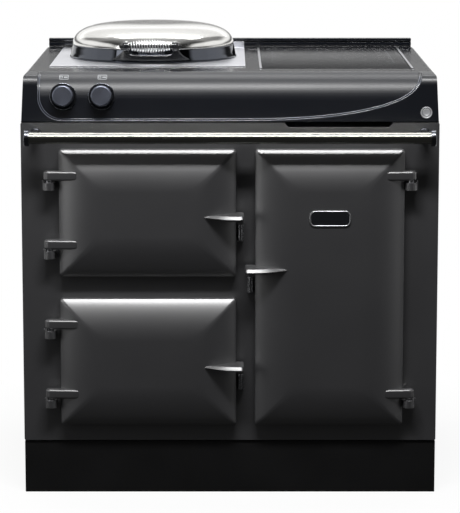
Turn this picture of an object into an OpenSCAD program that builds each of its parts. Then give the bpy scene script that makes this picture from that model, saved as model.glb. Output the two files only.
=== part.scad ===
// Cast iron range cooker: two stacked ovens on the left, one tall oven on the right,
// a lidded hotplate and an induction hob on top, a towel rail across the front.
// Millimetres. X to the right, Y to the back, Z up. The cooker stands on Z = 0 and
// its box is centred on X = 0 and Y = 0. Inside the modules Y = 0 is the front
// plate's face, and at_front() moves that face to its place.

/* [Overall size] */
// Width across the front plate
cooker_w = 896; // [860:1:930]
// Height of the hob deck above the floor
hob_h = 916; // [900:1:935]
// Depth from the front plate's face to the back panel's outer face
body_d = 693; // [670:1:720]
// Height of the plinth
plinth_h = 115; // [100:1:125]
// Open joint between plinth and front plate
plinth_gap = 2.4; // [1.5:0.1:5]
// Height of the curved fascia under the hob deck
fascia_h = 101; // [98:1:106]
// Open joint between the front plate and the fascia
fascia_gap = 2.6; // [1.5:0.1:4]

/* [Shell] */
// Thickness of the cast front plate
plate_t = 10; // [8:0.5:14]
// Thickness of the steel side and back panels
panel_t = 3; // [2:0.5:5]
// Thickness of the plinth sheet
plinth_t = 2.5; // [1.5:0.5:2.5]
// How far the plinth's face sits behind the front plate's face
plinth_setback = 4; // [2:0.5:7]
// Radius of the levelling feet's pads
foot_r = 25; // [18:1:35]
// Radius of the levelling feet's screws
foot_screw_r = 6; // [5:0.5:9]

/* [Doors] */
// Plate between the left edge and the left doors
stile_left = 82; // [78:0.5:90]
// Plate between the tall door and the right edge
stile_right = 74.5; // [74:0.5:80]
// Plate between the left doors and the tall door
stile_mid = 40; // [38:0.5:48]
// Plate under the doors
rail_bottom = 39; // [30:0.5:48]
// Plate between the two left doors
rail_mid = 48; // [40:0.5:60]
// Plate above the doors
rail_top = 55; // [50:0.5:66]
// Width of the two left doors
left_door_w = 379.5; // [360:0.5:390]
// Height of the bottom left door
bottom_door_h = 278.6; // [262:0.2:290]
// Gap between a closed door and the plate
door_gap = 3; // [2.5:0.5:5]
// Thickness of a door at its rim
rim_t = 22; // [20:0.5:25]
// How far the face of a door swells out of its rim
dome_t = 22; // [15:0.5:26]
// Width of the sloping band round a door's face, as a share of the top door's height
dome_share = 0.3207; // [0.26:0.0001:0.345]
// Corner radius of the doors
door_r = 7; // [4:0.5:14]
// Wall of a door round its insulation
door_wall = 14; // [12:0.5:18]
// Depth of the insulated pocket in a door's back
pocket_d = 15; // [10:0.5:18]
// How far a door covers the plate round its oven's mouth
door_overlap = 26; // [24:0.5:30]

/* [Hinges] */
// Distance of the hinge pins from the cooker's side
pin_inset = 61; // [60:0.5:61]
// Distance of the hinge pins in front of the plate
pin_out = 26; // [25:0.5:30]
// Radius of the hinge pins
pin_r = 4.5; // [3:0.1:6]
// Running clearance between a pin and its bore, on the radius
pin_clear = 0.05; // [0.02:0.01:0.09]
// Half the depth of a door's hinge lug, and the radius of its eye
lug_r = 11; // [9:0.5:12]
// Height of a hinge lug
lug_h = 20.5; // [16:0.5:26]
// Distance of the upper lug's centre below a door's top
lug_from_top = 55; // [45:1:65]
// Distance of the lower lug's centre above a door's foot
lug_from_foot = 71; // [60:1:80]
// How far a lug reaches in over a door's face
lug_reach = 40; // [30:1:50]
// Radius of the bracket that carries a pin
bracket_r = 12.5; // [10:0.5:12.5]
// Height of that bracket
bracket_h = 16; // [12:0.5:20]
// Height of the collar between bracket and lug
collar_h = 5.5; // [4:0.5:8]

/* [Handles and latches] */
// Height of the handles above the foot of the left doors
handle_up_left = 132.5; // [115:0.5:160]
// Height of the handle above the foot of the tall door
handle_up_tall = 345; // [300:0.5:400]
// How far a handle reaches in from the door's free edge
handle_in = 71; // [50:1:80]
// How far a left handle reaches out past the door's free edge
handle_out_left = 16; // [15:0.5:18]
// How far the tall door's handle reaches out past its free edge
handle_out_tall = 21.5; // [15:0.5:22]
// How far the handles stand out from the plate
handle_proud = 71; // [64:0.5:74]
// Radius of the steel roller on a latch keeper
keeper_r = 6; // [4:0.5:6]
// Height of that roller
keeper_h = 35; // [25:1:40]

/* [Ovens] */
// Inner depth of the ovens behind the plate
oven_d = 480; // [420:5:500]
// Wall of the two cast iron ovens
cast_wall = 8; // [5:0.5:10]
// Wall of the steel tall oven
steel_wall = 3; // [2:0.5:5]
// Thickness of the insulation jackets
jacket_t = 20; // [12:1:20]
// Space under an oven for its heating rods
rod_space = 10; // [9:0.5:12]
// Radius of the sheathed heating rods
rod_r = 4; // [3:0.5:4]
// Height of a shelf above the floor of its oven
shelf_up = 45; // [35:1:80]

/* [Hob deck] */
// How much narrower the fascia's foot is than the front plate, on each side
top_inset = 1.5; // [1.5:0.5:8]
// How much narrower the deck is than the fascia's foot, on each side
top_draft = 5; // [3:0.5:8]
// How far the fascia's foot sits behind the plate's face
apron_y = 3; // [2:0.5:5]
// Radius of the rolled edge on the two ears of the fascia
ear_r = 24; // [18:0.5:28]
// Thickness of the deck
deck_t = 10; // [9:0.5:13]
// Radius of the roll of the sunken control panel
panel_r = 56; // [50:0.5:60]
// How far the control panel is sunk behind the fascia's foot
panel_sink = 5; // [3:0.5:7]
// Thickness of the control panel
fascia_panel_t = 4; // [3:0.5:5]
// Wall of the fascia behind the control panel
fascia_wall = 6; // [5:0.5:8]
// Width of the two ears beside the control panel, from the cooker's side
ear_w = 41.5; // [35:0.5:56]
// Radius of the panel's lower left corner
panel_corner_r = 47; // [30:1:60]
// Height of the fascia's rim under the control panel
panel_lip = 5.5; // [4:0.5:8]
// Power of the curve that the panel's right end follows, 2 being an ellipse
panel_power = 2.45; // [2:0.05:3]
// Width of the step round the control panel
panel_step = 4.5; // [2:0.5:5]

/* [Hotplate and lid] */
// Distance of the hotplate's centre from the cooker's left side
hotplate_in = 272; // [266:1:276]
// Distance of the hotplate's centre from the back panel's outer face
hotplate_back = 265; // [260:1:275]
// Radius of the hotplate
hotplate_r = 167.5; // [150:0.5:172]
// Thickness of the hotplate
hotplate_t = 28; // [20:1:35]
// Thickness of the steel surround
surround_t = 2; // [1:0.5:3]
// Radius of the lid's foot
lid_r = 191; // [185:0.5:196]
// Height of the dark ring round the lid's foot
lid_ring_h = 29; // [20:0.5:35]
// Height of the polished dome above that ring
lid_dome_h = 49; // [35:0.5:60]
// How much the ring draws in from foot to seam
lid_ring_draft = 7; // [3:0.5:10]
// Wall of the lid's dome
lid_wall = 3; // [2:0.5:4]
// Distance of the lid's hinge pin behind the hotplate's centre
lid_pin_back = 220; // [216:1:224]
// Height of the lid's hinge pin above the surround
lid_pin_up = 28; // [24:1:34]

/* [Coil handle of the lid] */
// Length of the coil
coil_l = 94; // [80:1:110]
// Outer diameter of the coil at its middle
coil_mid_d = 29; // [24:0.5:32]
// Outer diameter of the coil at its ends
coil_end_d = 18.5; // [16:0.5:22]
// Diameter of the coil's wire
coil_wire_d = 3.2; // [2.5:0.1:4]
// Number of curls
coil_turns = 15; // [10:1:17]
// Radius of the rod through the coil
grip_rod_r = 4; // [3:0.5:5]
// Distance of the coil's axis in front of the lid's foot
coil_out = 33; // [28:1:40]
// Height of the coil's axis above the surround
coil_up = 41; // [38:0.5:46]
// Width of the two handle brackets
grip_bracket_w = 13; // [10:0.5:16]

/* [Induction hob] */
// Distance of the glass from the cooker's right side
glass_in = 53; // [50:0.5:60]
// Distance of the glass's left edge from the hotplate's centre
glass_off = 246; // [240:1:262]
// Distance of the glass's front edge behind the plate's face
glass_y0 = 130; // [120:1:145]
// Distance of the glass's back edge from the back panel's outer face
glass_back = 33; // [31:1:50]
// Thickness of the glass
glass_t = 6; // [4:0.5:6]
// Width of the steel trims beside the glass
trim_w = 5; // [3:0.5:6]
// Height of those trims above the deck
trim_h = 2; // [1:0.5:4]
// Radius of the two induction coils
hob_coil_r = 95; // [80:1:105]

/* [Controls] */
// Distance of the first knob from the cooker's left side
knob_in = 91.1; // [84:0.1:105]
// Distance between the two knobs
knob_pitch = 82.3; // [70:0.1:90]
// Distance of the knobs' axes below the hob deck
knob_down = 48; // [42:0.5:54]
// Radius of a knob at its face
knob_r = 22.3; // [18:0.1:23]
// How far a knob stands out of the panel
knob_l = 26; // [20:0.5:34]
// Outer radius of the ring round a knob
bezel_r = 29; // [26:0.5:32]
// Radius of a knob's spindle
spindle_r = 3.5; // [2.5:0.1:4.5]
// Distance of the power button from the cooker's right side
button_in = 28.3; // [24:0.1:32]
// Height of the power button above the fascia's foot
button_up = 19; // [15:0.5:26]
// Outer radius of the ring round the power button
button_ring_r = 12.7; // [11:0.1:14]
// Radius of the power button
button_r = 8.5; // [7:0.1:9]
// Travel of the power button
button_travel = 3; // [2:0.5:4]

/* [Towel rail and rear rail] */
// Radius of the towel rail's tube
rail_r = 12.5; // [10:0.5:15]
// Wall of that tube
rail_wall = 1.5; // [1:0.5:2.5]
// Distance of the towel rail's axis in front of the plate
rail_out = 62; // [55:0.5:70]
// Distance of the towel rail's axis below the front plate's top edge
rail_down = 25.4; // [23.4:0.1:29.4]
// Radius of the towel rail's end collars
rail_collar_r = 17.5; // [16:0.5:20]
// How far the end collars stay inside the cooker's sides
rail_inset = 12.5; // [8:0.5:28]
// How far the rail across the deck's back stays inside the cooker's sides
rear_rail_inset = 16; // [16:0.5:32]
// Height of that rail above the deck
rear_rail_h = 23; // [16:0.5:30]

/* [Badge] */
// Width of the plain badge on the tall door
badge_w = 88; // [60:1:100]
// Height of the badge
badge_h = 34; // [24:1:40]
// Distance of the badge's centre below the tall door's top
badge_down = 145; // [130:1:180]

/* [Hidden] */
$fn = 48;

// Small clearance between pieces that sit on each other
seat = 0.3;
// Overlap of a cut past the face that it opens
cut = 1;

// Heights
plate_z0 = plinth_h + plinth_gap;
fascia_z0 = hob_h - fascia_h;
plate_z1 = fascia_z0 - fascia_gap;
door_z0 = plate_z0 + rail_bottom;
door_z1 = plate_z1 - rail_top;

// Depths, counted from the plate's face
back_in = body_d - panel_t;
screw_head_t = 3;
rear_most = body_d + screw_head_t;
front_most = rail_out + rail_collar_r;
depth_all = front_most + rear_most;
plate_face_y = front_most - depth_all / 2;

// Half widths
half_w = cooker_w / 2;
side_out = half_w - 0.5;
side_in = side_out - panel_t;
top_w = cooker_w - 2 * top_inset;
fascia_panel_half = half_w - ear_w;
rail_half = half_w - rail_inset;
rear_rail_half = half_w - rear_rail_inset;

// Places on the deck and the fascia
hotplate_x = half_w - hotplate_in;
hotplate_y = body_d - hotplate_back;
glass_x1 = half_w - glass_in;
glass_x0 = -hotplate_x + glass_off;
glass_y1 = body_d - glass_back;
knob_1_x = half_w - knob_in;
knob_z = hob_h - knob_down;
button_x = half_w - button_in;
button_z = fascia_z0 + button_up;
rail_z = plate_z1 - rail_down;

// Doors as [x0, x1, z0, z1, side of the free edge, height of the handle]
top_door = [
  -half_w + stile_left, -half_w + stile_left + left_door_w,
  door_z0 + bottom_door_h + rail_mid, door_z1,
  1, door_z0 + bottom_door_h + rail_mid + handle_up_left
];
bottom_door = [
  top_door[0], top_door[1], door_z0, door_z0 + bottom_door_h, 1, door_z0 + handle_up_left
];
tall_door = [
  top_door[1] + stile_mid, half_w - stile_right, door_z0, door_z1, -1, door_z0 + handle_up_tall
];
DOORS = [top_door, bottom_door, tall_door];
dome_band = dome_share * (top_door[3] - top_door[2]);

// Mouth of an oven as [x0, x1, z0, z1]
function mouth(d, grow = 0) = [
  d[0] + door_overlap - grow, d[1] - door_overlap + grow,
  d[2] + door_overlap - grow, d[3] - door_overlap + grow
];
function pin_x(d) = -d[4] * (half_w - pin_inset);
function lug_heights(d) = [d[2] + lug_from_foot, d[3] - lug_from_top];
function free_x(d) = d[4] > 0 ? d[1] : d[0];
function handle_out(d) = d[4] > 0 ? handle_out_left : handle_out_tall;

// Points along an arc in a plane
function arc(cx, cy, r, from, to, steps = 10) = [
  for (i = [0:steps]) let (a = from + (to - from) * i / steps) [cx + r * cos(a), cy + r * sin(a)]
];

module at_front() translate([0, plate_face_y, 0]) children();
module block(x0, x1, y0, y1, z0, z1) translate([x0, y0, z0]) cube([x1 - x0, y1 - y0, z1 - z0]);
// A plane shape of Y and Z drawn out along X
module along_x(x0, x1) translate([x0, 0, 0]) rotate([90, 0, 90]) linear_extrude(x1 - x0) children();
// A plane shape of X and Z drawn out along Y
module along_y(y0, y1) translate([0, y1, 0]) rotate([90, 0, 0]) linear_extrude(y1 - y0) children();
module rod_x(x0, x1, y, z, r) translate([x0, y, z]) rotate([0, 90, 0]) cylinder(r = r, h = x1 - x0);
module rod_y(x, y0, y1, z, r) translate([x, y1, z]) rotate([90, 0, 0]) cylinder(r = r, h = y1 - y0);
module rod_z(x, y, z0, z1, r) translate([x, y, z0]) cylinder(r = r, h = z1 - z0);
module rounded(x0, x1, z0, z1, r) {
  translate([x0 + r, z0]) square([x1 - x0 - 2 * r, z1 - z0]);
  translate([x0, z0 + r]) square([x1 - x0, z1 - z0 - 2 * r]);
  for (x = [x0 + r, x1 - r], z = [z0 + r, z1 - r]) translate([x, z]) circle(r);
}

// ---------------------------------------------------------------- plinth, tray, feet

tray_top = plinth_h + 1;
tray_t = 3;
tray_front_up = 22;
tray_skirt = 18;
foot_in = 68;
foot_x = half_w - foot_in;
foot_ys = [80, back_in - 70];
foot_pad_h = 12;

module plinth() color([0.05, 0.05, 0.06]) at_front() {
  difference() {
    block(-side_out, side_out, plinth_setback, back_in - 50, 0, plinth_h);
    block(
      -side_out + plinth_t, side_out - plinth_t, plinth_setback + plinth_t, body_d, -cut, plinth_h + cut
    );
  }
}

module base_tray() color([0.45, 0.46, 0.48]) at_front() {
  difference() {
    union() {
      block(-side_in, side_in, plate_t, back_in, tray_top - tray_skirt, tray_top);
      block(-side_in, side_in, plate_t, plate_t + tray_t, tray_top - tray_skirt, tray_top + tray_front_up);
    }
    block(
      -side_in + tray_t, side_in - tray_t, plate_t + tray_t, back_in - tray_t,
      tray_top - tray_skirt - cut, tray_top - tray_t
    );
    for (x = [-foot_x, foot_x], y = foot_ys)
      rod_z(x, y, tray_top - tray_skirt, tray_top + cut, foot_screw_r + seat);
  }
}

module levelling_feet() color([0.3, 0.3, 0.32]) at_front()
  for (x = [-foot_x, foot_x], y = foot_ys) {
    rod_z(x, y, 0, foot_pad_h, foot_r);
    rod_z(x, y, foot_pad_h - cut, tray_top + 14, foot_screw_r);
    // Nut under the tray
    translate([x, y, tray_top - tray_t - seat - 10]) cylinder(r = foot_screw_r * 1.8, h = 10, $fn = 6);
  }

// ---------------------------------------------------------------- outer shell

vent_x0 = tall_door[0] + 64.2;
vent_x1 = tall_door[1] - 25.7;
vent_d = 10;
vent_slant = 8;
vent_lip = 2;

// The air notch in the plate's top edge, with slanted ends
module vent_notch() along_y(-cut, plate_t + cut)
  polygon([
    [vent_x0, plate_z1 + cut], [vent_x0, plate_z1 - vent_lip],
    [vent_x0 + vent_slant, plate_z1 - vent_d], [vent_x1 - vent_slant, plate_z1 - vent_d],
    [vent_x1, plate_z1 - vent_lip], [vent_x1, plate_z1 + cut]
  ]);

module front_plate() color([0.2, 0.2, 0.21]) at_front() difference() {
  along_y(0, plate_t) rounded(-half_w, half_w, plate_z0, plate_z1, 3);
  for (d = DOORS) let (m = mouth(d)) along_y(-cut, plate_t + cut) rounded(m[0], m[1], m[2], m[3], 6);
  vent_notch();
}

module side_panel(side) color([0.09, 0.09, 0.1]) at_front()
  mirror([side < 0 ? 1 : 0, 0, 0]) block(side_in, side_out, plate_t, back_in, plate_z0, fascia_z0);
module side_panel_left() side_panel(-1);
module side_panel_right() side_panel(1);

back_top = hob_h - 14;
gland_in = 118;
gland_up = 82.6;
gland_x = half_w - gland_in;
gland_z = plate_z0 + gland_up;
gland_r = 8;
gland_body_r = 12;
gland_flange = 5;
screw_in = 30;
screw_up = 25;
screw_mid = 140;
screw_xs = [-half_w + screw_in, -screw_mid, screw_mid, half_w - screw_in];
screw_zs = [plate_z0 + screw_up, back_top - screw_up];
back_screw_r = 2;
back_screw_l = 8;
vent_slots = 9;
slot_pitch = 16;
slot_h = 6;
slot_l = 120;
slots_down = 342;
slot_z = back_top - slots_down;
slot_xs = [-230, 170];

module back_panel() color([0.62, 0.63, 0.65]) at_front() difference() {
  block(-side_out, side_out, back_in, body_d, plate_z0, back_top);
  for (x = screw_xs, z = screw_zs) rod_y(x, back_in - cut, body_d + cut, z, back_screw_r + seat);
  rod_y(gland_x, back_in - cut, body_d + cut, gland_z, gland_body_r + seat);
  // Two banks of cooling slots
  for (i = [0:vent_slots - 1], x = slot_xs) let (z = slot_z + i * slot_pitch)
    block(x, x + slot_l, back_in - cut, body_d + cut, z, z + slot_h);
}

module back_panel_screws() color([0.75, 0.76, 0.78]) at_front()
  for (x = screw_xs, z = screw_zs) {
    rod_y(x, body_d, body_d + screw_head_t, z, back_screw_r * 2);
    rod_y(x, body_d - back_screw_l, body_d + cut, z, back_screw_r);
  }

// ---------------------------------------------------------------- fascia and deck

deck_back = back_in;
panel_front_y = apron_y + panel_sink;
panel_cy = panel_front_y + panel_r;
panel_cz = hob_h - panel_r;
cavity_r = panel_r - fascia_panel_t - fascia_wall;
cavity_half = top_w / 2 - 14;

// Everything in front of a surface that runs up the control panel at a depth from its face
module before_panel(depth, up = 5) polygon(concat(
  [[-20, fascia_z0 - cut], [panel_front_y + depth, fascia_z0 - cut]],
  arc(panel_cy, panel_cz, panel_r - depth, 180, 90, 16),
  [[panel_cy, hob_h + up], [-20, hob_h + up]]
));

// Outline of the control panel: square top, round left corner, long sweep to the right
module panel_outline(grow) {
  top = hob_h + 12;
  foot = fascia_z0 + panel_lip - grow;
  sweep_z = hob_h + 4;
  half = fascia_panel_half + grow;
  corner = panel_corner_r + grow;
  drop = sweep_z - foot;
  steps = 28;
  polygon(concat(
    [[-half, top]],
    arc(-half + corner, foot + corner, corner, 180, 270, 10),
    [for (i = [0:steps]) let (a = 90 - 90 * i / steps)
      [half * pow(abs(cos(a)), 2 / panel_power), sweep_z - drop * pow(sin(a), 2 / panel_power)]],
    [[half, top]]
  ));
}

// Knob axis: it meets the panel at knob_z and leans with the panel there
knob_tilt = asin(max(0, knob_z - panel_cz) / panel_r);
knob_y = panel_cy - panel_r * cos(knob_tilt);
knob_xs = [-knob_1_x, -knob_1_x + knob_pitch];
// Draws its children with +Z out of the panel along a knob's axis
module on_knob(i) translate([knob_xs[i], knob_y, knob_z]) rotate([90 - knob_tilt, 0, 0]) children();

hotplate_ledge = 5;
hotplate_core_r = hotplate_r - 18;
glass_ledge = 12;

module top_plate() color([0.08, 0.08, 0.1]) at_front() difference() {
  intersection() {
    along_x(-half_w, half_w) polygon(concat(
      [[apron_y, fascia_z0]],
      arc(apron_y + ear_r, hob_h - ear_r, ear_r, 180, 90, 12),
      [[deck_back, hob_h], [deck_back, fascia_z0]]
    ));
    along_y(0, deck_back) polygon(concat(
      [[-top_w / 2, fascia_z0], [top_w / 2, fascia_z0]],
      arc(top_w / 2 - top_draft - 8, hob_h - 8, 8, 0, 90, 5),
      arc(-top_w / 2 + top_draft + 8, hob_h - 8, 8, 90, 180, 5)
    ));
  }
  // Hollow underside
  along_x(-cavity_half, cavity_half) polygon(concat(
    [[panel_cy - cavity_r, fascia_z0 - cut]],
    arc(panel_cy, panel_cz, cavity_r, 180, 90, 14),
    [[panel_cy, hob_h - deck_t], [deck_back - 6, hob_h - deck_t], [deck_back - 6, fascia_z0 - cut]]
  ));
  // Pocket of the control panel and the step round it
  intersection() {
    along_y(-10, panel_cy + 10) panel_outline(0);
    along_x(-half_w, half_w) before_panel(fascia_panel_t);
  }
  intersection() {
    along_y(-10, panel_cy + 10) panel_outline(panel_step);
    along_x(-half_w, half_w) before_panel(-panel_sink / 2);
  }
  for (i = [0, 1]) on_knob(i) translate([0, 0, -40]) cylinder(r = spindle_r + 1.5, h = 60);
  rod_y(button_x, -10, 40, button_z, button_ring_r - 2.5);
  // Seat and hole of the hotplate
  rod_z(-hotplate_x, hotplate_y, hob_h - deck_t - cut, hob_h + cut, hotplate_core_r + seat);
  rod_z(-hotplate_x, hotplate_y, hob_h - deck_t + hotplate_ledge, hob_h + cut, hotplate_r + seat);
  // Seat and hole of the glass
  block(glass_x0 - seat, glass_x1 + seat, glass_y0 - seat, glass_y1 + seat, hob_h - glass_t, hob_h + cut);
  block(
    glass_x0 + glass_ledge, glass_x1 - glass_ledge, glass_y0 + glass_ledge, glass_y1 - glass_ledge,
    hob_h - deck_t - cut, hob_h
  );
  for (x = screw_xs) rod_y(x, body_d - 2 * back_screw_l, body_d, screw_zs[1], back_screw_r + seat);
}

module fascia_panel() color([0.05, 0.06, 0.08]) at_front() difference() {
  intersection() {
    along_y(-10, panel_cy) panel_outline(-seat);
    along_x(-half_w, half_w) difference() {
      before_panel(fascia_panel_t - seat, 0);
      before_panel(0, cut);
    }
  }
  for (i = [0, 1]) on_knob(i) translate([0, 0, -40]) cylinder(r = spindle_r + 1, h = 60);
}

// ---------------------------------------------------------------- hotplate

surround_left = 221;
surround_gap = 36;
surround_front = 46;
surround_back = 2;
surround_x0 = -hotplate_x - surround_left;
surround_x1 = glass_x0 - surround_gap;
surround_y0 = glass_y0 + surround_front;
surround_y1 = glass_y1 + surround_back;
surround_z = hob_h + surround_t;
upstand_h = 14;

module hotplate_surround() color([0.75, 0.76, 0.79]) at_front() {
  difference() {
    block(surround_x0, surround_x1, surround_y0, surround_y1, hob_h, surround_z);
    rod_z(-hotplate_x, hotplate_y, hob_h - cut, surround_z + cut, hotplate_r + 1);
  }
  block(-hotplate_x + 60, surround_x1, surround_y1 - 3, surround_y1, hob_h, surround_z + upstand_h);
}

hotplate_z1 = surround_z + 3;
hotplate_seat_z = hob_h - deck_t + hotplate_ledge;
hotplate_z0 = hotplate_z1 - hotplate_t;

module hotplate() color([0.22, 0.22, 0.23]) at_front() {
  rod_z(-hotplate_x, hotplate_y, hotplate_seat_z, hotplate_z1, hotplate_r);
  rod_z(-hotplate_x, hotplate_y, hotplate_z0, hotplate_z1 - cut, hotplate_core_r);
}

pan_wall = 2;
pan_h = 40;
module hotplate_pan() color([0.6, 0.61, 0.62]) at_front() difference() {
  rod_z(-hotplate_x, hotplate_y, hotplate_z0 - pan_h, hotplate_z0, hotplate_core_r);
  rod_z(
    -hotplate_x, hotplate_y, hotplate_z0 - pan_h + pan_wall, hotplate_z0 + cut, hotplate_core_r - pan_wall
  );
}

// ---------------------------------------------------------------- induction hob

housing_wall = 2;
housing_x0 = glass_x0 + glass_ledge + seat;
housing_x1 = glass_x1 - glass_ledge - seat;
housing_y0 = glass_y0 + glass_ledge + seat;
housing_y1 = glass_y1 - glass_ledge - seat;
housing_z1 = hob_h - glass_t - seat;
housing_h = 54;
housing_z0 = housing_z1 - housing_h;
post_x = 55;
post_half_w = 8;
post_half_l = 30;
hob_cx = (glass_x0 + glass_x1) / 2;
hob_cy = (glass_y0 + glass_y1) / 2;
hob_coil_t = 14;
hob_coil_space = 14;
hob_coil_ys = [hob_cy - hob_coil_r - hob_coil_space, hob_cy + hob_coil_r + hob_coil_space];
fan_half = 40;
fan_t = 25;
fan_bore_r = 37.5;
fan_shaft_r = 2;

module induction_glass() color([0.04, 0.04, 0.05]) at_front()
  block(glass_x0, glass_x1, glass_y0, glass_y1, hob_h - glass_t, hob_h);

module glass_trims() color([0.85, 0.86, 0.88]) at_front() {
  block(glass_x0 - seat - trim_w, glass_x0 - seat, glass_y0, surround_y1, hob_h, hob_h + trim_h);
  block(glass_x1 + seat, glass_x1 + seat + trim_w, glass_y0, surround_y1, hob_h, hob_h + trim_h);
}

module induction_housing() color([0.7, 0.71, 0.73]) at_front() {
  difference() {
    block(housing_x0, housing_x1, housing_y0, housing_y1, housing_z0, housing_z1);
    block(
      housing_x0 + housing_wall, housing_x1 - housing_wall, housing_y0 + housing_wall,
      housing_y1 - housing_wall, housing_z0 + housing_wall, housing_z1 + cut
    );
    // Air holes under the fan
    rod_z(hob_cx, hob_cy, housing_z0 - cut, housing_z0 + housing_wall + cut, fan_bore_r - 8);
  }
  // Posts that carry the coils
  for (y = hob_coil_ys, x = [hob_cx - post_x, hob_cx + post_x])
    block(
      x - post_half_w, x + post_half_w, y - post_half_l, y + post_half_l,
      housing_z0 + housing_wall / 2, housing_z1 - hob_coil_t - seat
    );
}

module induction_coils() color([0.72, 0.42, 0.22]) at_front()
  for (y = hob_coil_ys) translate([hob_cx, y, housing_z1 - hob_coil_t]) difference() {
    cylinder(r = hob_coil_r, h = hob_coil_t - 1);
    translate([0, 0, -cut]) cylinder(r = 18, h = hob_coil_t + 2 * cut);
    // Grooves between the windings
    for (r = [30:12:hob_coil_r - 8]) translate([0, 0, hob_coil_t - 4]) difference() {
      cylinder(r = r + 2, h = 5);
      translate([0, 0, -cut]) cylinder(r = r, h = 5 + 2 * cut);
    }
  }

fan_z0 = housing_z0 + housing_wall;
module fan_frame() color([0.12, 0.12, 0.13]) at_front() translate([hob_cx, hob_cy, fan_z0]) {
  difference() {
    translate([-fan_half, -fan_half, 0]) cube([2 * fan_half, 2 * fan_half, fan_t]);
    translate([0, 0, -cut]) cylinder(r = fan_bore_r, h = fan_t + 2 * cut);
  }
  for (a = [30, 150, 270]) rotate([0, 0, a]) translate([0, -2.5, 0]) cube([fan_bore_r + 1, 5, 3]);
  cylinder(r = 14, h = 3);
  cylinder(r = fan_shaft_r, h = fan_t - 3);
}

module fan_rotor() color([0.2, 0.2, 0.22]) at_front() translate([hob_cx, hob_cy, fan_z0 + 3 + seat]) {
  difference() {
    union() {
      cylinder(r = 14, h = fan_t - 6);
      for (i = [0:6]) rotate([0, 0, i * 360 / 7]) translate([12, 0, 3]) rotate([32, 0, 0])
        translate([0, -0.8, 0]) cube([fan_bore_r - 14, 1.6, 14]);
    }
    translate([0, 0, -cut]) cylinder(r = fan_shaft_r + pin_clear, h = fan_t);
  }
}

// ---------------------------------------------------------------- rails

rail_y = -rail_out;
rail_collar_w = 10.5;
boss_x = rail_half - 19.5;
boss_r = 14;
neck_r = 11;

module handrail() color([0.8, 0.81, 0.8]) at_front() difference() {
  rod_x(-rail_half + 5, rail_half - 5, rail_y, rail_z, rail_r);
  rod_x(-rail_half, rail_half, rail_y, rail_z, rail_r - rail_wall);
}

module handrail_brackets() color([0.35, 0.35, 0.38]) at_front()
  for (side = [0, 1]) mirror([side, 0, 0]) difference() {
    union() {
      rod_x(rail_half - rail_collar_w, rail_half, rail_y, rail_z, rail_collar_r);
      // Neck from the plate out to the tube, in one with the collar
      rod_y(boss_x, -8, 0, rail_z + 1, boss_r);
      rod_y(boss_x, rail_y, -7, rail_z + 1, neck_r);
    }
    rod_x(boss_x - 30, rail_half - 5 + seat, rail_y, rail_z, rail_r + pin_clear);
  }

// Cross section of the rear rail: a bar with two grooves along its face
rear_y0 = surround_y1 + 6;
rear_y1 = back_in - 2;
module rear_rail() color([0.13, 0.13, 0.15])
  at_front() along_x(-rear_rail_half, rear_rail_half) difference() {
  translate([rear_y0, hob_h]) square([rear_y1 - rear_y0, rear_rail_h]);
  translate([rear_y0 - cut, hob_h + rear_rail_h * 0.6]) square([4 + cut, 3]);
  translate([rear_y0 - cut, hob_h + rear_rail_h * 0.16]) square([3 + cut, 2.6]);
}

// ---------------------------------------------------------------- controls

bezel_proud = 3;
bezel_in_r = knob_r + 2;
spindle_in = 22;

// Ring whose back follows the curved panel
module knob_bezels() color([0.3, 0.31, 0.33]) at_front() difference() {
  for (i = [0, 1]) on_knob(i) translate([0, 0, -16]) difference() {
    cylinder(r = bezel_r, h = 16 + bezel_proud);
    translate([0, 0, -cut]) cylinder(r = bezel_in_r, h = 16 + bezel_proud + 2 * cut);
  }
  along_x(-half_w, half_w) difference() {
    translate([0, fascia_z0]) square([80, fascia_h + 20]);
    before_panel(-0.2, 20);
  }
}

module knob(i) color([0.16, 0.17, 0.19]) at_front() on_knob(i) difference() {
  union() {
    translate([0, 0, seat + 0.7]) cylinder(r1 = knob_r + 0.8, r2 = knob_r, h = knob_l - 2.7);
    translate([0, 0, knob_l - 2.1]) cylinder(r1 = knob_r, r2 = knob_r - 2, h = 2.1);
    translate([0, 0, -spindle_in]) cylinder(r = spindle_r, h = spindle_in + 3);
  }
  // Pointer groove and the shallow dish of the face
  translate([-0.8, 8, knob_l - 1]) cube([1.6, knob_r, 3]);
  translate([0, 0, knob_l - 0.6]) cylinder(r = knob_r - 4, h = 2);
}
module knob_left() knob(0);
module knob_right() knob(1);

regulator_half = 15;
regulator_w = 40;
regulator_d = 26;
regulator_front = panel_r - cavity_r
  + cavity_r - sqrt(cavity_r * cavity_r - regulator_half * regulator_half) + seat;
module energy_regulators() color([0.85, 0.84, 0.8]) at_front() for (i = [0, 1]) on_knob(i) difference() {
  translate([-regulator_w / 2, -regulator_half, -regulator_front - regulator_d])
    cube([regulator_w, 2 * regulator_half, regulator_d]);
  translate([0, 0, -spindle_in - 1]) cylinder(r = spindle_r + pin_clear, h = spindle_in + 1);
}

button_seat_r = button_r + 0.5;
button_proud = 2;
button_body_l = 24;
// Ring and barrel of the push switch, in one with each other
module button_bezel() color([0.82, 0.83, 0.85]) at_front() difference() {
  union() {
    rod_y(button_x, apron_y - button_proud, apron_y, button_z, button_ring_r);
    rod_y(button_x, apron_y - seat, apron_y + button_body_l, button_z, button_ring_r - 2.5 - seat);
  }
  rod_y(button_x, apron_y - button_proud - cut, apron_y + 12, button_z, button_seat_r);
  rod_y(button_x, apron_y, apron_y + 22, button_z, 2 + pin_clear);
}

module power_button() color([0.78, 0.79, 0.81]) at_front() {
  difference() {
    rod_y(button_x, apron_y - 1, apron_y + 12 - button_travel - 0.5, button_z, button_r);
    rod_y(button_x, apron_y - 2, apron_y - 0.4, button_z, button_r - 3);
  }
  rod_y(button_x, apron_y + 3, apron_y + 22 - button_travel - 0.5, button_z, 2);
}

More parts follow.
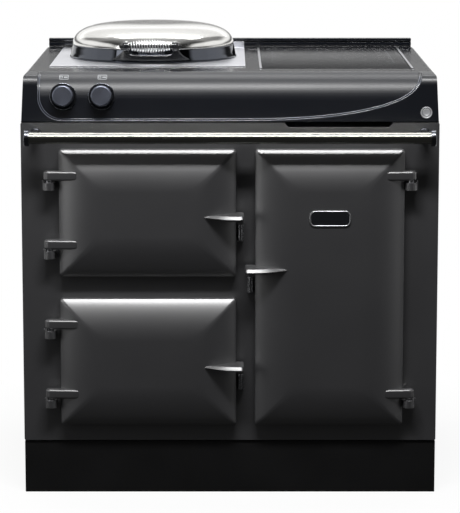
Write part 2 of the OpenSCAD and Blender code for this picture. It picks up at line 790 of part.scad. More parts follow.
// ---------------------------------------------------------------- hinges and latches

function lug_z0(z) = z - lug_h / 2;
function collar_z0(z) = lug_z0(z) - seat - collar_h + 1;
function bracket_z0(z) = collar_z0(z) - bracket_h;

module hinge_brackets() color([0.22, 0.22, 0.23]) at_front()
  for (d = DOORS, z = lug_heights(d))
    let (x = pin_x(d), z0 = bracket_z0(z), z1 = collar_z0(z)) difference() {
    union() {
      rod_z(x, -pin_out, z0, z1, bracket_r);
      block(x - bracket_r, x + bracket_r, -pin_out, 0, z0, z1);
      // Little horn at the outer end
      mirror([d[4] > 0 ? 0 : 1, 0, 0])
        block(
          -abs(x) - bracket_r - 1.5, -abs(x) - lug_r - 0.6, -pin_out - 5, -pin_out + 5, z0, z1 + collar_h - 1
        );
    }
    rod_z(x, -pin_out, z0 - cut, z1 + cut, pin_r + pin_clear);
  }

pin_blind = 4;
// Door pins with their collars, and the lid's hinge pin
module hinge_pins() color([0.7, 0.71, 0.73]) at_front() {
  for (d = DOORS, z = lug_heights(d)) {
    rod_z(pin_x(d), -pin_out, bracket_z0(z) + 2, z + lug_h / 2 - pin_blind - 0.5, pin_r);
    rod_z(pin_x(d), -pin_out, collar_z0(z), lug_z0(z) - seat, pin_r + 3);
  }
  rod_x(-hotplate_x - lid_ear_out, -hotplate_x + lid_ear_out, lid_pin_y, lid_pin_z, lid_pin_r);
}

keeper_y = -14;
keeper_drop = 20.5;
function keeper_x(d) = free_x(d) + d[4] * (3 + keeper_r);
module latch_keepers() color([0.66, 0.67, 0.69]) at_front() for (d = DOORS) {
  z1 = d[5] - keeper_drop;
  rod_z(keeper_x(d), keeper_y, z1 - keeper_h, z1, keeper_r);
  block(keeper_x(d) - keeper_r - 1, keeper_x(d) + keeper_r + 1, keeper_y + 4, 0, z1 - keeper_h - 2, z1 - 2);
}

// ---------------------------------------------------------------- doors

dome_power = 1.35;
dome_inset = 4.5;
dome_steps = 10;
function dome_h(t) = dome_t * (1 - pow(1 - t, dome_power));
// Side view of the swelling face between two edges: up one slope, down the other
function dome_side(a, b) = concat(
  [for (i = [0:dome_steps]) [a + dome_band * i / dome_steps, dome_h(i / dome_steps)]],
  [for (i = [dome_steps:-1:0]) [b - dome_band * i / dome_steps, dome_h(i / dome_steps)]]
);

module door_dome(d) {
  rim_y = door_gap + rim_t;
  x0 = d[0] + dome_inset;
  x1 = d[1] - dome_inset;
  z0 = d[2] + dome_inset;
  z1 = d[3] - dome_inset;
  intersection() {
    translate([0, 0, z0]) linear_extrude(z1 - z0) polygon(concat(
      [[x0, -rim_y + 2]], [for (p = dome_side(x0, x1)) [p[0], -rim_y - p[1]]], [[x1, -rim_y + 2]]
    ));
    along_x(x0, x1) polygon(concat(
      [[-rim_y + 2, z0]], [for (p = dome_side(z0, z1)) [-rim_y - p[1], p[0]]], [[-rim_y + 2, z1]]
    ));
  }
}

module hinge_lug(d, z) {
  z0 = lug_z0(z);
  x = pin_x(d);
  edge = d[4] > 0 ? d[0] : d[1];
  rod_z(x, -pin_out, z0, z0 + lug_h, lug_r);
  end = edge + d[4] * lug_reach;
  block(min(x, end), max(x, end), -pin_out - lug_r, -pin_out + lug_r, z0, z0 + lug_h);
}

// Blade handle: a thin wedge that widens towards the door's free edge and runs past it
module handle_fin(d) {
  z = d[5];
  out = handle_out(d);
  front = -handle_proud;
  translate([free_x(d), 0, 0]) mirror([d[4] > 0 ? 0 : 1, 0, 0]) {
    intersection() {
      translate([0, 0, z - 20]) linear_extrude(40) polygon([
        [-handle_in, -30], [-handle_in, -door_gap - rim_t - 20], [-handle_in * 0.45, front + 8],
        [0, front + 1], [out - 7, front], [out - 2, front + 2], [out, front + 8],
        [out, -12], [out - 3, -10], [-8, -10]
      ]);
      along_x(-handle_in, out) polygon([
        [-6, z + 6], [front + 3, z + 3.5], [front, z + 1.8], [front + 3, z], [-40, z - 3], [-6, z - 6]
      ]);
    }
    // Tip at the free end
    block(out - 3.5, out, front + 8, front + 22, z - 11, z + 1);
    // Web under the blade
    translate([0, 0, z - 9]) linear_extrude(8) polygon([
      [-38, -30], [-32, -50], [out - 6, -54], [out - 6, -12], [-6, -12], [-6, -30]
    ]);
    // Nose that rests over the keeper
    block(2.2, 13.5, -21, -11, z - keeper_drop + 0.5, z - 2);
  }
}

// Pocket in a door's back, and with a clearance the block that fills it
module door_pocket(d, clear) {
  inset = door_wall + door_overlap - 10 + clear;
  back = clear > 0 ? 0 : cut;
  block(
    d[0] + inset, d[1] - inset, -door_gap - pocket_d + clear, -door_gap + back, d[2] + inset, d[3] - inset
  );
}

module door_shell(d) color([0.2, 0.2, 0.21]) at_front() difference() {
  union() {
    along_y(-door_gap - rim_t, -door_gap) rounded(d[0], d[1], d[2], d[3], door_r);
    door_dome(d);
    for (z = lug_heights(d)) hinge_lug(d, z);
    handle_fin(d);
  }
  door_pocket(d, 0);
  for (z = lug_heights(d))
    rod_z(pin_x(d), -pin_out, lug_z0(z) - cut, z + lug_h / 2 - pin_blind, pin_r + pin_clear);
}

liner_in = 4;
liner_y1 = 5;
// Insulated liner: it fills the door's pocket and stands a little way into the oven's mouth
module door_liner(d) color([0.55, 0.56, 0.57]) at_front() let (m = mouth(d, -liner_in)) difference() {
  union() {
    along_y(-door_gap, liner_y1) rounded(m[0], m[1], m[2], m[3], 6);
    door_pocket(d, seat);
  }
  block(m[0] + 12, m[1] - 12, liner_y1 - 4, liner_y1 + cut, m[2] + 12, m[3] - 12);
}

seal_w = 8;
// Rope seal round the oven's mouth
module door_seal(d) color([0.15, 0.15, 0.15]) at_front() let (o = mouth(d, 7 + seal_w), i = mouth(d, 7))
  along_y(-door_gap, -seat) difference() {
    rounded(o[0], o[1], o[2], o[3], 8);
    rounded(i[0], i[1], i[2], i[3], 4);
  }

module top_door_shell() door_shell(top_door);
module top_door_liner() door_liner(top_door);
module top_door_seal() door_seal(top_door);
module bottom_door_shell() door_shell(bottom_door);
module bottom_door_liner() door_liner(bottom_door);
module bottom_door_seal() door_seal(bottom_door);
module tall_door_shell() door_shell(tall_door);
module tall_door_liner() door_liner(tall_door);
module tall_door_seal() door_seal(tall_door);

badge_x = (tall_door[0] + tall_door[1]) / 2;
badge_z = door_z1 - badge_down;
badge_y = -door_gap - rim_t - dome_t;
// Plain plate with a raised rim, its field left bare
module badge() color([0.75, 0.76, 0.78]) at_front() difference() {
  along_y(badge_y - 3, badge_y)
    rounded(badge_x - badge_w / 2, badge_x + badge_w / 2, badge_z - badge_h / 2, badge_z + badge_h / 2, 12);
  along_y(badge_y - 3 - cut, badge_y - 2) rounded(
    badge_x - badge_w / 2 + 3, badge_x + badge_w / 2 - 3,
    badge_z - badge_h / 2 + 3, badge_z + badge_h / 2 - 3, 9
  );
}

// ---------------------------------------------------------------- ovens

// Box open at the front, with a ledge on each side wall that carries the shelf
module oven(d, wall) at_front() let (m = mouth(d), o = mouth(d, wall), ledge_z = m[2] + shelf_up - 4) {
  difference() {
    block(o[0], o[1], plate_t, plate_t + oven_d + wall, o[2], o[3]);
    block(m[0], m[1], plate_t - cut, plate_t + oven_d, m[2], m[3]);
  }
  block(o[0] + 1, m[0] + 8, plate_t + 20, plate_t + oven_d - 20, ledge_z, ledge_z + 4 - seat);
  block(m[1] - 8, o[1] - 1, plate_t + 20, plate_t + oven_d - 20, ledge_z, ledge_z + 4 - seat);
}
module roasting_oven() color([0.16, 0.16, 0.17]) oven(top_door, cast_wall);
module simmering_oven() color([0.16, 0.16, 0.17]) oven(bottom_door, cast_wall);
module tall_oven() color([0.3, 0.31, 0.33]) oven(tall_door, steel_wall);

wire_r = 2;
frame_r = 3;
ring_inner_r = 50;
ring_pitch = 38;
rod_pitch = 80;
rod_end = 60;
// Wire shelves, one on the ledges of each oven
module oven_shelves() color([0.78, 0.79, 0.8]) at_front() for (d = DOORS) let (m = mouth(d)) {
  x0 = m[0] + 4;
  x1 = m[1] - 4;
  y0 = plate_t + 24;
  y1 = plate_t + oven_d - 24;
  z = m[2] + shelf_up + frame_r;
  bars = 11;
  for (y = [y0, y1]) rod_x(x0, x1, y, z, frame_r);
  for (x = [x0 + frame_r, x1 - frame_r]) rod_y(x, y0, y1, z, frame_r);
  for (i = [1:bars]) rod_y(x0 + (x1 - x0) * i / (bars + 1), y0, y1, z, wire_r);
}

function oven_wall(d) = d[4] > 0 ? cast_wall : steel_wall;
// Three sheathed rods under each oven, and three rings under the hotplate
module heating_rods() color([0.5, 0.44, 0.4]) at_front() {
  for (d = DOORS) let (o = mouth(d, oven_wall(d))) for (i = [-1, 0, 1])
    rod_y(
      (o[0] + o[1]) / 2 + i * rod_pitch, plate_t + rod_end, plate_t + oven_d - rod_end,
      o[2] - rod_r - seat, rod_r
    );
  for (i = [0:2]) translate([-hotplate_x, hotplate_y, hotplate_z0 - rod_r - seat])
    rotate_extrude() translate([ring_inner_r + i * ring_pitch, 0]) circle(rod_r, $fn = 24);
}

// Mineral wool round each oven, open at the plate
module insulation_jackets() color([0.86, 0.82, 0.62]) at_front() for (d = DOORS) {
  o = mouth(d, oven_wall(d));
  y1 = plate_t + oven_d + oven_wall(d) + seat;
  difference() {
    block(
      o[0] - seat - jacket_t, o[1] + seat + jacket_t, plate_t, y1 + jacket_t,
      o[2] - rod_space - jacket_t, o[3] + seat + jacket_t
    );
    block(o[0] - seat, o[1] + seat, plate_t - cut, y1, o[2] - rod_space, o[3] + seat);
  }
}

// ---------------------------------------------------------------- services

sheet_t = 2;
control_w = 58;
control_y0 = 90;
control_l = 310;
control_h = 220;
control_z1 = fascia_z0 - 115;
control_slot_l = 20;
control_slot_h = 60;
control_slot_up = 80;
control_slots = 7;

module control_box() color([0.8, 0.81, 0.82]) at_front() difference() {
  z0 = control_z1 - control_h;
  block(side_in - control_w, side_in, control_y0, control_y0 + control_l, z0, control_z1);
  block(
    side_in - control_w + sheet_t, side_in - sheet_t, control_y0 + sheet_t,
    control_y0 + control_l - sheet_t, z0 + sheet_t, control_z1 - sheet_t
  );
  for (i = [1:control_slots]) let (y = control_y0 + control_l * i / (control_slots + 1))
    block(
      side_in - control_w - cut, side_in - control_w + 2 * sheet_t, y - control_slot_l / 2,
      y + control_slot_l / 2, z0 + control_slot_up, z0 + control_slot_up + control_slot_h
    );
}

terminal_half = 42;
terminal_d = 56;
terminal_below = 40;
terminal_above = 60;
terminal_z0 = gland_z - terminal_below;
terminal_z1 = gland_z + terminal_above;
terminal_post_r = 5;
terminal_post_l = 20;
terminal_pitch = 22;
terminal_post_up = 36;
// Terminal box with its three posts
module terminal_box() color([0.7, 0.71, 0.72]) at_front() let (y0 = back_in - terminal_d) {
  difference() {
    block(gland_x - terminal_half, gland_x + terminal_half, y0, back_in, terminal_z0, terminal_z1);
    block(
      gland_x - terminal_half + sheet_t, gland_x + terminal_half - sheet_t, y0 + sheet_t,
      back_in - sheet_t, terminal_z0 + sheet_t, terminal_z1 - sheet_t
    );
    rod_y(gland_x, back_in - 5 * sheet_t, back_in + cut, gland_z, gland_body_r + seat);
  }
  for (i = [-1, 0, 1]) rod_y(
    gland_x + i * terminal_pitch, y0 + sheet_t / 2, y0 + sheet_t + terminal_post_l,
    gland_z + terminal_post_up, terminal_post_r
  );
}

module cable_gland() color([0.1, 0.1, 0.1]) at_front() difference() {
  union() {
    rod_y(gland_x, body_d, rear_most, gland_z, gland_body_r + gland_flange);
    rod_y(gland_x, back_in - gland_body_r, body_d + cut, gland_z, gland_body_r);
  }
  rod_y(gland_x, back_in - 2 * gland_body_r, rear_most + cut, gland_z, gland_r);
}

duct_l = 140;
duct_side = 3;
duct_under = 3;
// Channel that leads air from the notch in the plate to the hob's fan
module vent_duct() color([0.25, 0.26, 0.27]) at_front() let (z = plate_z1 - vent_d) difference() {
  block(
    vent_x0 - duct_side, vent_x1 + duct_side, plate_t, plate_t + duct_l, z - 1 - duct_under, plate_z1 - 1
  );
  block(vent_x0, vent_x1, plate_t - cut, plate_t + duct_l - sheet_t, z - 1, plate_z1 + cut);
}

// ---------------------------------------------------------------- lid

lid_z0 = surround_z + seat;
lid_seam_z = lid_z0 + lid_ring_h;
lid_seam_r = lid_r - lid_ring_draft;
lid_ring_wall = 8;
lid_pin_r = 4;
lid_pin_y = hotplate_y + lid_pin_back;
lid_pin_z = surround_z + lid_pin_up;
lid_arm_half = 22;
lid_ear_t = 8;
lid_ear_out = lid_arm_half + seat + lid_ear_t;
lid_arm_r = 12;
dome_flat = 4;
dome_round = 2.2;
dome_points = 16;

module at_lid() at_front() translate([-hotplate_x, hotplate_y, 0]) children();

// Half section of the dome: flat on top, tight round its shoulder
function lid_dome_points(r, h, z) = [
  for (i = [0:dome_points]) let (a = 90 * i / dome_points)
    [r * pow(sin(a), 2 / dome_flat), z + h * pow(cos(a), 2 / dome_round)]
];

module lid_shell() color([0.9, 0.91, 0.92]) at_lid() rotate_extrude() difference() {
  polygon(concat([[0, lid_seam_z]], lid_dome_points(lid_seam_r, lid_dome_h, lid_seam_z)));
  polygon(concat(
    [[0, lid_seam_z - cut]],
    lid_dome_points(lid_seam_r - lid_wall, lid_dome_h - lid_wall, lid_seam_z),
    [[lid_seam_r - lid_wall, lid_seam_z - cut]]
  ));
}

module lid_ring() color([0.25, 0.26, 0.28]) at_lid() rotate_extrude() polygon([
  [lid_r - 0.5, lid_z0], [lid_r, lid_z0 + 1.5], [lid_r - 1, lid_z0 + 3], [lid_seam_r + 0.5, lid_seam_z - 2],
  [lid_seam_r, lid_seam_z], [lid_seam_r - lid_ring_wall, lid_seam_z], [lid_r - lid_ring_wall, lid_z0]
]);

liner_z = hotplate_z1 + 4;
liner_r = lid_seam_r - lid_ring_wall - seat;
liner_t = 2;
module lid_liner() color([0.7, 0.71, 0.72]) at_lid() difference() {
  translate([0, 0, liner_z]) cylinder(r = liner_r, h = lid_seam_z - liner_z + 10);
  translate([0, 0, liner_z + liner_t]) cylinder(r = liner_r - liner_t, h = lid_seam_z - liner_z + 10);
}

module lid_insulation() color([0.86, 0.82, 0.62]) at_lid()
  translate([0, 0, liner_z + liner_t]) cylinder(r = liner_r - liner_t - seat, h = lid_seam_z - liner_z + 6);

// Outer shape of the lid, a little grown, that other pieces are cut back from
module lid_envelope(grow) rotate_extrude() polygon(concat(
  [[0, lid_z0 - 5], [lid_r + grow, lid_z0 - 5], [lid_r + grow, lid_z0 + 1.5]],
  [[lid_seam_r + grow + 0.5, lid_seam_z - 2]],
  [for (i = [dome_points:-1:0]) lid_dome_points(lid_seam_r + grow, lid_dome_h, lid_seam_z)[i]]
));

module lid_hinge_bracket() color([0.6, 0.61, 0.63]) at_front() difference() {
  union() {
    block(
      -hotplate_x - lid_ear_out, -hotplate_x + lid_ear_out, lid_pin_y - 12, surround_y1,
      surround_z, surround_z + 4
    );
    for (side = [-1, 1]) {
      x = -hotplate_x + side * (lid_arm_half + seat + lid_ear_t / 2);
      block(x - lid_ear_t / 2, x + lid_ear_t / 2, lid_pin_y - 10, lid_pin_y + 10, surround_z, lid_pin_z);
      rod_x(x - lid_ear_t / 2, x + lid_ear_t / 2, lid_pin_y, lid_pin_z, 10);
    }
  }
  rod_x(-hotplate_x - 60, -hotplate_x + 60, lid_pin_y, lid_pin_z, lid_pin_r + pin_clear);
}

module lid_hinge_arm() color([0.6, 0.61, 0.63]) at_lid() difference() {
  union() {
    rod_x(-lid_arm_half, lid_arm_half, lid_pin_back, lid_pin_z, lid_arm_r);
    block(-lid_arm_half, lid_arm_half, lid_seam_r - 20, lid_pin_back, lid_pin_z - 8, lid_pin_z + lid_arm_r);
  }
  lid_envelope(0.2);
  rod_x(-60, 60, lid_pin_back, lid_pin_z, lid_pin_r + pin_clear);
}

coil_y = -lid_r - coil_out;
coil_z = surround_z + coil_up;
grip_bracket_x = coil_l / 2 + seat;
grip_foot = 25;
bolt_l = 12;

module lid_handle_brackets() color([0.12, 0.12, 0.13]) at_lid() difference() {
  union() {
    for (side = [0, 1]) mirror([side, 0, 0]) {
      block(
        grip_bracket_x, grip_bracket_x + grip_bracket_w, coil_y, -lid_seam_r + 30, coil_z - 11, coil_z + 11
      );
      rod_x(grip_bracket_x, grip_bracket_x + grip_bracket_w, coil_y, coil_z, 11);
      // Foot that flares along the ring
      translate([0, 0, lid_z0 + 6]) linear_extrude(coil_z - lid_z0 - 10) polygon([
        [grip_bracket_x, -lid_r - 6], [grip_bracket_x + grip_bracket_w, -lid_r - 6],
        [grip_bracket_x + grip_bracket_w + grip_foot, -lid_r + 20], [grip_bracket_x, -lid_r + 30]
      ]);
    }
    // Bridge under the coil
    block(-grip_bracket_x - 2, grip_bracket_x + 2, -lid_r - 4, -lid_seam_r + 30, lid_z0 + 6, lid_z0 + 22);
  }
  lid_envelope(0.2);
  rod_x(-100, 100, coil_y, coil_z, grip_rod_r + pin_clear);
}

module lid_handle_rod() color([0.85, 0.86, 0.88]) at_lid() {
  end = grip_bracket_x + grip_bracket_w;
  rod_x(-end - 2, end + 2, coil_y, coil_z, grip_rod_r);
  for (side = [0, 1]) mirror([side, 0, 0]) {
    rod_x(end + seat, end + 4, coil_y, coil_z, grip_rod_r + 3.5);
    translate([end + 4, coil_y, coil_z]) sphere(grip_rod_r + 1.5);
  }
}

// The coil: a barrel of curls, swept as one tube, its ends run straight into the brackets
rings_per_turn = 8;
wire_sides = 6;
wire_tube_r = coil_wire_d / 2;
coil_steps = coil_turns * rings_per_turn;
coil_run = coil_l - 2 * coil_wire_d;
function coil_angle(i) = 360 * i / rings_per_turn;
function coil_mean_r(i) = let (t = 2 * i / coil_steps - 1)
  (coil_end_d + (coil_mid_d - coil_end_d) * (1 - t * t)) / 2 - wire_tube_r;
function coil_at(i) = [
  -coil_run / 2 + coil_run * i / coil_steps,
  coil_mean_r(i) * cos(coil_angle(i)), coil_mean_r(i) * sin(coil_angle(i))
];
coil_path = concat(
  [[-coil_l / 2, coil_at(0)[1], coil_at(0)[2]]],
  [for (i = [0:coil_steps]) coil_at(i)],
  [[coil_l / 2, coil_at(coil_steps)[1], coil_at(coil_steps)[2]]]
);
coil_last = len(coil_path) - 1;
function unit(v) = v / norm(v);
function coil_tangent(i) = i <= 0 || i >= coil_last
  ? [1, 0, 0]
  : unit(unit(coil_path[i] - coil_path[i - 1]) + unit(coil_path[i + 1] - coil_path[i]));
function coil_radial(i) = unit([0, coil_path[i][1], coil_path[i][2]]);
function coil_normal(i) = unit(coil_radial(i) - (coil_radial(i) * coil_tangent(i)) * coil_tangent(i));
function coil_ring(i) = let (n = coil_normal(i), b = cross(coil_tangent(i), n)) [
  for (k = [0:wire_sides - 1]) let (a = 360 * k / wire_sides)
    coil_path[i] + wire_tube_r * (cos(a) * n + sin(a) * b)
];
coil_tube_points = [for (i = [0:coil_last]) each coil_ring(i)];
coil_tube_faces = concat(
  [for (i = [0:coil_last - 1], k = [0:wire_sides - 1]) let (a = i * wire_sides, k1 = (k + 1) % wire_sides)
    [a + k, a + wire_sides + k1, a + k1]],
  [for (i = [0:coil_last - 1], k = [0:wire_sides - 1]) let (a = i * wire_sides, k1 = (k + 1) % wire_sides)
    [a + k, a + wire_sides + k, a + wire_sides + k1]],
  [for (k = [1:wire_sides - 2]) [0, k, k + 1]],
  [for (k = [1:wire_sides - 2]) let (a = coil_last * wire_sides) [a, a + k + 1, a + k]]
);
// Least gap between the tube and itself, measured on its centre points half a turn or more apart
coil_gap = min([
  for (i = [0:coil_last - 5]) min([for (j = [i + 5:coil_last]) norm(coil_path[i] - coil_path[j])])
]) - coil_wire_d;
echo(coil_least_gap = coil_gap);

module lid_handle_coil() color([0.88, 0.89, 0.9]) at_lid() translate([0, coil_y, coil_z])
  polyhedron(points = coil_tube_points, faces = coil_tube_faces, convexity = 10);

// ---------------------------------------------------------------- one line for each piece

plinth();
base_tray();
levelling_feet();
front_plate();
side_panel_left();
side_panel_right();
back_panel();
back_panel_screws();
top_plate();
fascia_panel();
hotplate_surround();
hotplate();
hotplate_pan();
induction_glass();
glass_trims();
induction_housing();
induction_coils();
fan_frame();
rear_rail();
handrail();
handrail_brackets();
knob_bezels();
energy_regulators();
button_bezel();
hinge_brackets();
hinge_pins();
latch_keepers();
roasting_oven();
simmering_oven();
tall_oven();
oven_shelves();
heating_rods();
insulation_jackets();
control_box();
terminal_box();
cable_gland();
vent_duct();
lid_hinge_bracket();
lid_shell();
lid_ring();
lid_liner();
lid_insulation();
lid_hinge_arm();
lid_handle_brackets();
lid_handle_rod();
lid_handle_coil();
top_door_shell();
top_door_liner();
top_door_seal();
bottom_door_shell();
bottom_door_liner();
bottom_door_seal();
tall_door_shell();
tall_door_liner();
tall_door_seal();
badge();
knob_left();
knob_right();
power_button();
fan_rotor();
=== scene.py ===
"""Looks of the range cooker: camera, light, finishes and the detailed pieces over its frame.

Sizes are in millimetres from the front plate's face, as in the cooker's own drawing.
"""

import math
import bmesh
import bpy
from mathutils import Matrix, Vector


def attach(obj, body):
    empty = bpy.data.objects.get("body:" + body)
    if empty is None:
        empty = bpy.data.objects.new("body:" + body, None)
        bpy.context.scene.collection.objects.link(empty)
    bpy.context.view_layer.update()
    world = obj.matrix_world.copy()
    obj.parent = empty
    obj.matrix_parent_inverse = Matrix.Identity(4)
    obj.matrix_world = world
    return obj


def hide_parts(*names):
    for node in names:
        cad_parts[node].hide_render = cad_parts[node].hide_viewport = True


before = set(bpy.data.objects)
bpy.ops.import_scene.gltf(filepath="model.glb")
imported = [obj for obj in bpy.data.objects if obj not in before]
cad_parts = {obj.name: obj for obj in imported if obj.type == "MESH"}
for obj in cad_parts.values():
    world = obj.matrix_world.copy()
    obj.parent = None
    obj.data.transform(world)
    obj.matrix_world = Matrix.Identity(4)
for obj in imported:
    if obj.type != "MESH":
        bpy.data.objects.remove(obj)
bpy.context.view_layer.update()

scene = bpy.context.scene
MM = 0.001
PLATE_FACE = -0.30825
FLOOR_SPREAD = 9.0
GLASS_TOP = 915.0
DECK_TOP = 921
KNOB_X = (-356.9, -274.6)
KNOB_Z = 868
BUTTON_X, BUTTON_Z = 419.7, 834
LID_X, LID_Y = -176, 428
RAIL_Y, RAIL_Z = -62, 787


def at(x, y, z):
    """A point of the drawing, in metres in the frame"""
    return Vector((x * MM, y * MM + PLATE_FACE, z * MM))


# ---------------------------------------------------------------- camera and light


CAMERA_PLACE = (0, -5.72825, 1.430)
CAMERA_TILT = 80.5
CAMERA_LENS = 199.57


def place_camera():
    data = bpy.data.cameras.new("photo_view")
    data.sensor_fit = "HORIZONTAL"
    data.sensor_width = 36
    data.lens = CAMERA_LENS
    camera = bpy.data.objects.new("photo_view", data)
    camera.location = CAMERA_PLACE
    camera.rotation_euler = (math.radians(CAMERA_TILT), 0, 0)
    scene.collection.objects.link(camera)
    scene.camera = camera


def softbox(name, place, aim, width, height, watts):
    data = bpy.data.lights.new(name, "AREA")
    data.shape = "RECTANGLE"
    data.size = width
    data.size_y = height
    data.energy = watts
    lamp = bpy.data.objects.new(name, data)
    lamp.location = place
    lamp.rotation_euler = (Vector(aim) - Vector(place)).to_track_quat("-Z", "Y").to_euler()
    scene.collection.objects.link(lamp)


# ---------------------------------------------------------------- shader maths


class Value:
    """A shader socket that takes part in plain Python maths"""

    def __init__(self, tree, socket):
        self.tree = tree
        self.socket = socket

    def math(self, operation, *others, clamp=False):
        node = self.tree.nodes.new("ShaderNodeMath")
        node.operation = operation
        node.use_clamp = clamp
        for entry, value in zip(node.inputs, (self,) + others):
            plug(self.tree, entry, value)
        return Value(self.tree, node.outputs[0])

    def __add__(self, other):
        return self.math("ADD", other)

    __radd__ = __add__

    def __mul__(self, other):
        return self.math("MULTIPLY", other)

    __rmul__ = __mul__

    def __sub__(self, other):
        return self.math("SUBTRACT", other)

    def __rsub__(self, other):
        return (self * -1.0) + other

    def __truediv__(self, other):
        return self.math("DIVIDE", other)

    def __abs__(self):
        return self.math("ABSOLUTE")

    def over(self, other):
        return self.math("MAXIMUM", other)

    def under(self, other):
        return self.math("MINIMUM", other)

    def root(self):
        return self.math("SQRT")

    def clamped(self):
        return self.math("ADD", 0.0, clamp=True)

    def step(self, low, high):
        """0 at low, 1 at high, a straight ramp between them"""
        return ((self - low) / (high - low)).clamped()


def plug(tree, entry, value):
    if isinstance(value, Value):
        tree.links.new(value.socket, entry)
    else:
        entry.default_value = value


def add_node(tree, kind, settings=None, inputs=None, out=0):
    """A node of any kind: its settings first, then the values or links of its sockets"""
    node = tree.nodes.new(kind)
    for key, value in (settings or {}).items():
        setattr(node, key, value)
    for key, value in (inputs or {}).items():
        plug(tree, node.inputs[key], value)
    return Value(tree, node.outputs[out])


def light_masks(tree):
    """1 for rays from the camera, and 1 for rays that metal and glass mirror or let through"""
    seen, mirrored, through = (add_node(tree, "ShaderNodeLightPath", out=i) for i in (0, 3, 6))
    return seen, mirrored.over(through)


class Finish:
    """One surface finish on the Principled shader"""

    def __init__(self, name, colour, rough, metal=0.0, **constants):
        self.material = bpy.data.materials.new(name)
        self.material.use_nodes = True
        self.tree = self.material.node_tree
        self.shader = self.tree.nodes["Principled BSDF"]
        self.colour = (*colour, 1)
        self.set("Base Color", self.colour)
        self.set("Roughness", rough)
        self.set("Metallic", metal)
        for key, value in constants.items():
            self.set(key.replace("_", " "), value)

    def set(self, name, value):
        plug(self.tree, self.shader.inputs[name], value)

    def node(self, kind, settings=None, inputs=None, out=0):
        return add_node(self.tree, kind, settings, inputs, out)

    def place(self, scale=(1, 1, 1)):
        """The piece's own coordinates, stretched along each axis"""
        spot = self.node("ShaderNodeTexCoord", out=3)
        return self.node("ShaderNodeMapping", {"vector_type": "POINT"}, {"Vector": spot, "Scale": scale})

    def axes(self):
        """X, Y and Z in millimetres of the drawing"""
        spot = self.node("ShaderNodeTexCoord", out=3)
        parts = [self.node("ShaderNodeSeparateXYZ", inputs={"Vector": spot}, out=i) for i in range(3)]
        return parts[0] * 1000, (parts[1] - PLATE_FACE) * 1000, parts[2] * 1000

    def noise(self, scale, detail=3.0, stretch=(1, 1, 1), rough=0.5):
        return self.node(
            "ShaderNodeTexNoise",
            {"noise_dimensions": "3D"},
            {"Vector": self.place(stretch), "Scale": scale, "Detail": detail, "Roughness": rough},
        )

    def tint(self, factor, other):
        """Mixes another colour into the base colour"""
        shades = {"Factor": factor, 6: self.colour, 7: (*other, 1)}
        self.set("Base Color", self.node("ShaderNodeMix", {"data_type": "RGBA"}, shades, out=2))

    def bump(self, height, strength, depth):
        self.set("Normal", self.node(
            "ShaderNodeBump", inputs={"Strength": strength, "Distance": depth, "Height": height}
        ))


def srgb(r, g, b):
    """Display colour, 0 to 255, as linear light"""
    return tuple((v / 255 / 12.92) if v <= 10 else ((v / 255 + 0.055) / 1.055) ** 2.4 for v in (r, g, b))


# ---------------------------------------------------------------- finishes


def enamel(name, colour, rough, peel, specks=0.0, coat=0.0):
    """Vitreous enamel: a faint orange peel, and a roughness that drifts a little"""
    f = Finish(name, colour, rough, Coat_Roughness=0.04, Coat_IOR=1.5)
    f.set("Coat Weight", coat)
    drift = f.noise(9, 2)
    f.set("Roughness", rough * 0.85 + drift * (rough * 0.3))
    grain = f.noise(900, 2)
    f.tint(grain.step(0.42, 0.62) * specks, tuple(min(1, c * 1.7 + 0.004) for c in colour))
    f.bump(f.noise(130, 3) + grain * 0.15, 0.25, peel)
    return f


def brushed(name, colour, rough, along, depth=0.00004, metal=1.0):
    """Metal with fine drawn lines: along gives how long the lines are on each axis"""
    f = Finish(name, colour, rough, metal)
    lines = f.noise(1.0, 4, along, 0.6)
    haze = f.noise(14, 3)
    f.set("Roughness", rough * 0.7 + lines * (rough * 0.45) + haze * (rough * 0.15))
    f.tint(lines.step(0.3, 0.75) * 0.45, tuple(c * 0.82 for c in colour))
    f.bump(lines, 0.3, depth)
    return f


def galvanised(name, colour, rough):
    """Zinc coated sheet with its crystal pattern"""
    f = Finish(name, colour, rough, 0.85)
    cells = f.node("ShaderNodeTexVoronoi", {"feature": "F1"}, {"Vector": f.place(), "Scale": 55.0}, out=1)
    patch = f.node("ShaderNodeRGBToBW", inputs={"Color": cells})
    f.set("Roughness", rough * 0.8 + patch * (rough * 0.5))
    f.tint(patch * 0.5, tuple(c * 0.72 for c in colour))
    f.bump(patch + f.noise(400, 2) * 0.4, 0.15, 0.0001)
    return f


def moulded(name, colour, rough, grain=0.00006):
    """Moulded plastic with a fine even texture"""
    f = Finish(name, colour, rough)
    fine = f.noise(1500, 2)
    f.set("Roughness", rough * 0.9 + fine * (rough * 0.2))
    f.tint(f.noise(60, 2) * 0.3, tuple(min(1, c * 1.25 + 0.003) for c in colour))
    f.bump(fine, 0.3, grain)
    return f


def fibrous(name, colour, rough, scale, depth):
    """Wool or rope: fine strands that show as colour and as relief"""
    f = Finish(name, colour, rough)
    strands = f.noise(scale, 5, (1, 1, 4), 0.7)
    f.tint(strands.step(0.35, 0.7) * 0.6, tuple(c * 0.6 for c in colour))
    f.bump(strands, 0.8, depth)
    return f


def box_edge(x, z, cx, cz, half_w, half_h, corner):
    """Distance from the outline of a rounded rectangle"""
    qx = abs(x - cx) - (half_w - corner)
    qz = abs(z - cz) - (half_h - corner)
    px = qx.over(0.0)
    pz = qz.over(0.0)
    return (px * px + pz * pz).root() + qx.over(qz).under(0.0) - corner


def line(distance, half):
    """A printed line along the outline, with soft edges"""
    return 1 - abs(distance).step(half * 0.7, half * 1.3)


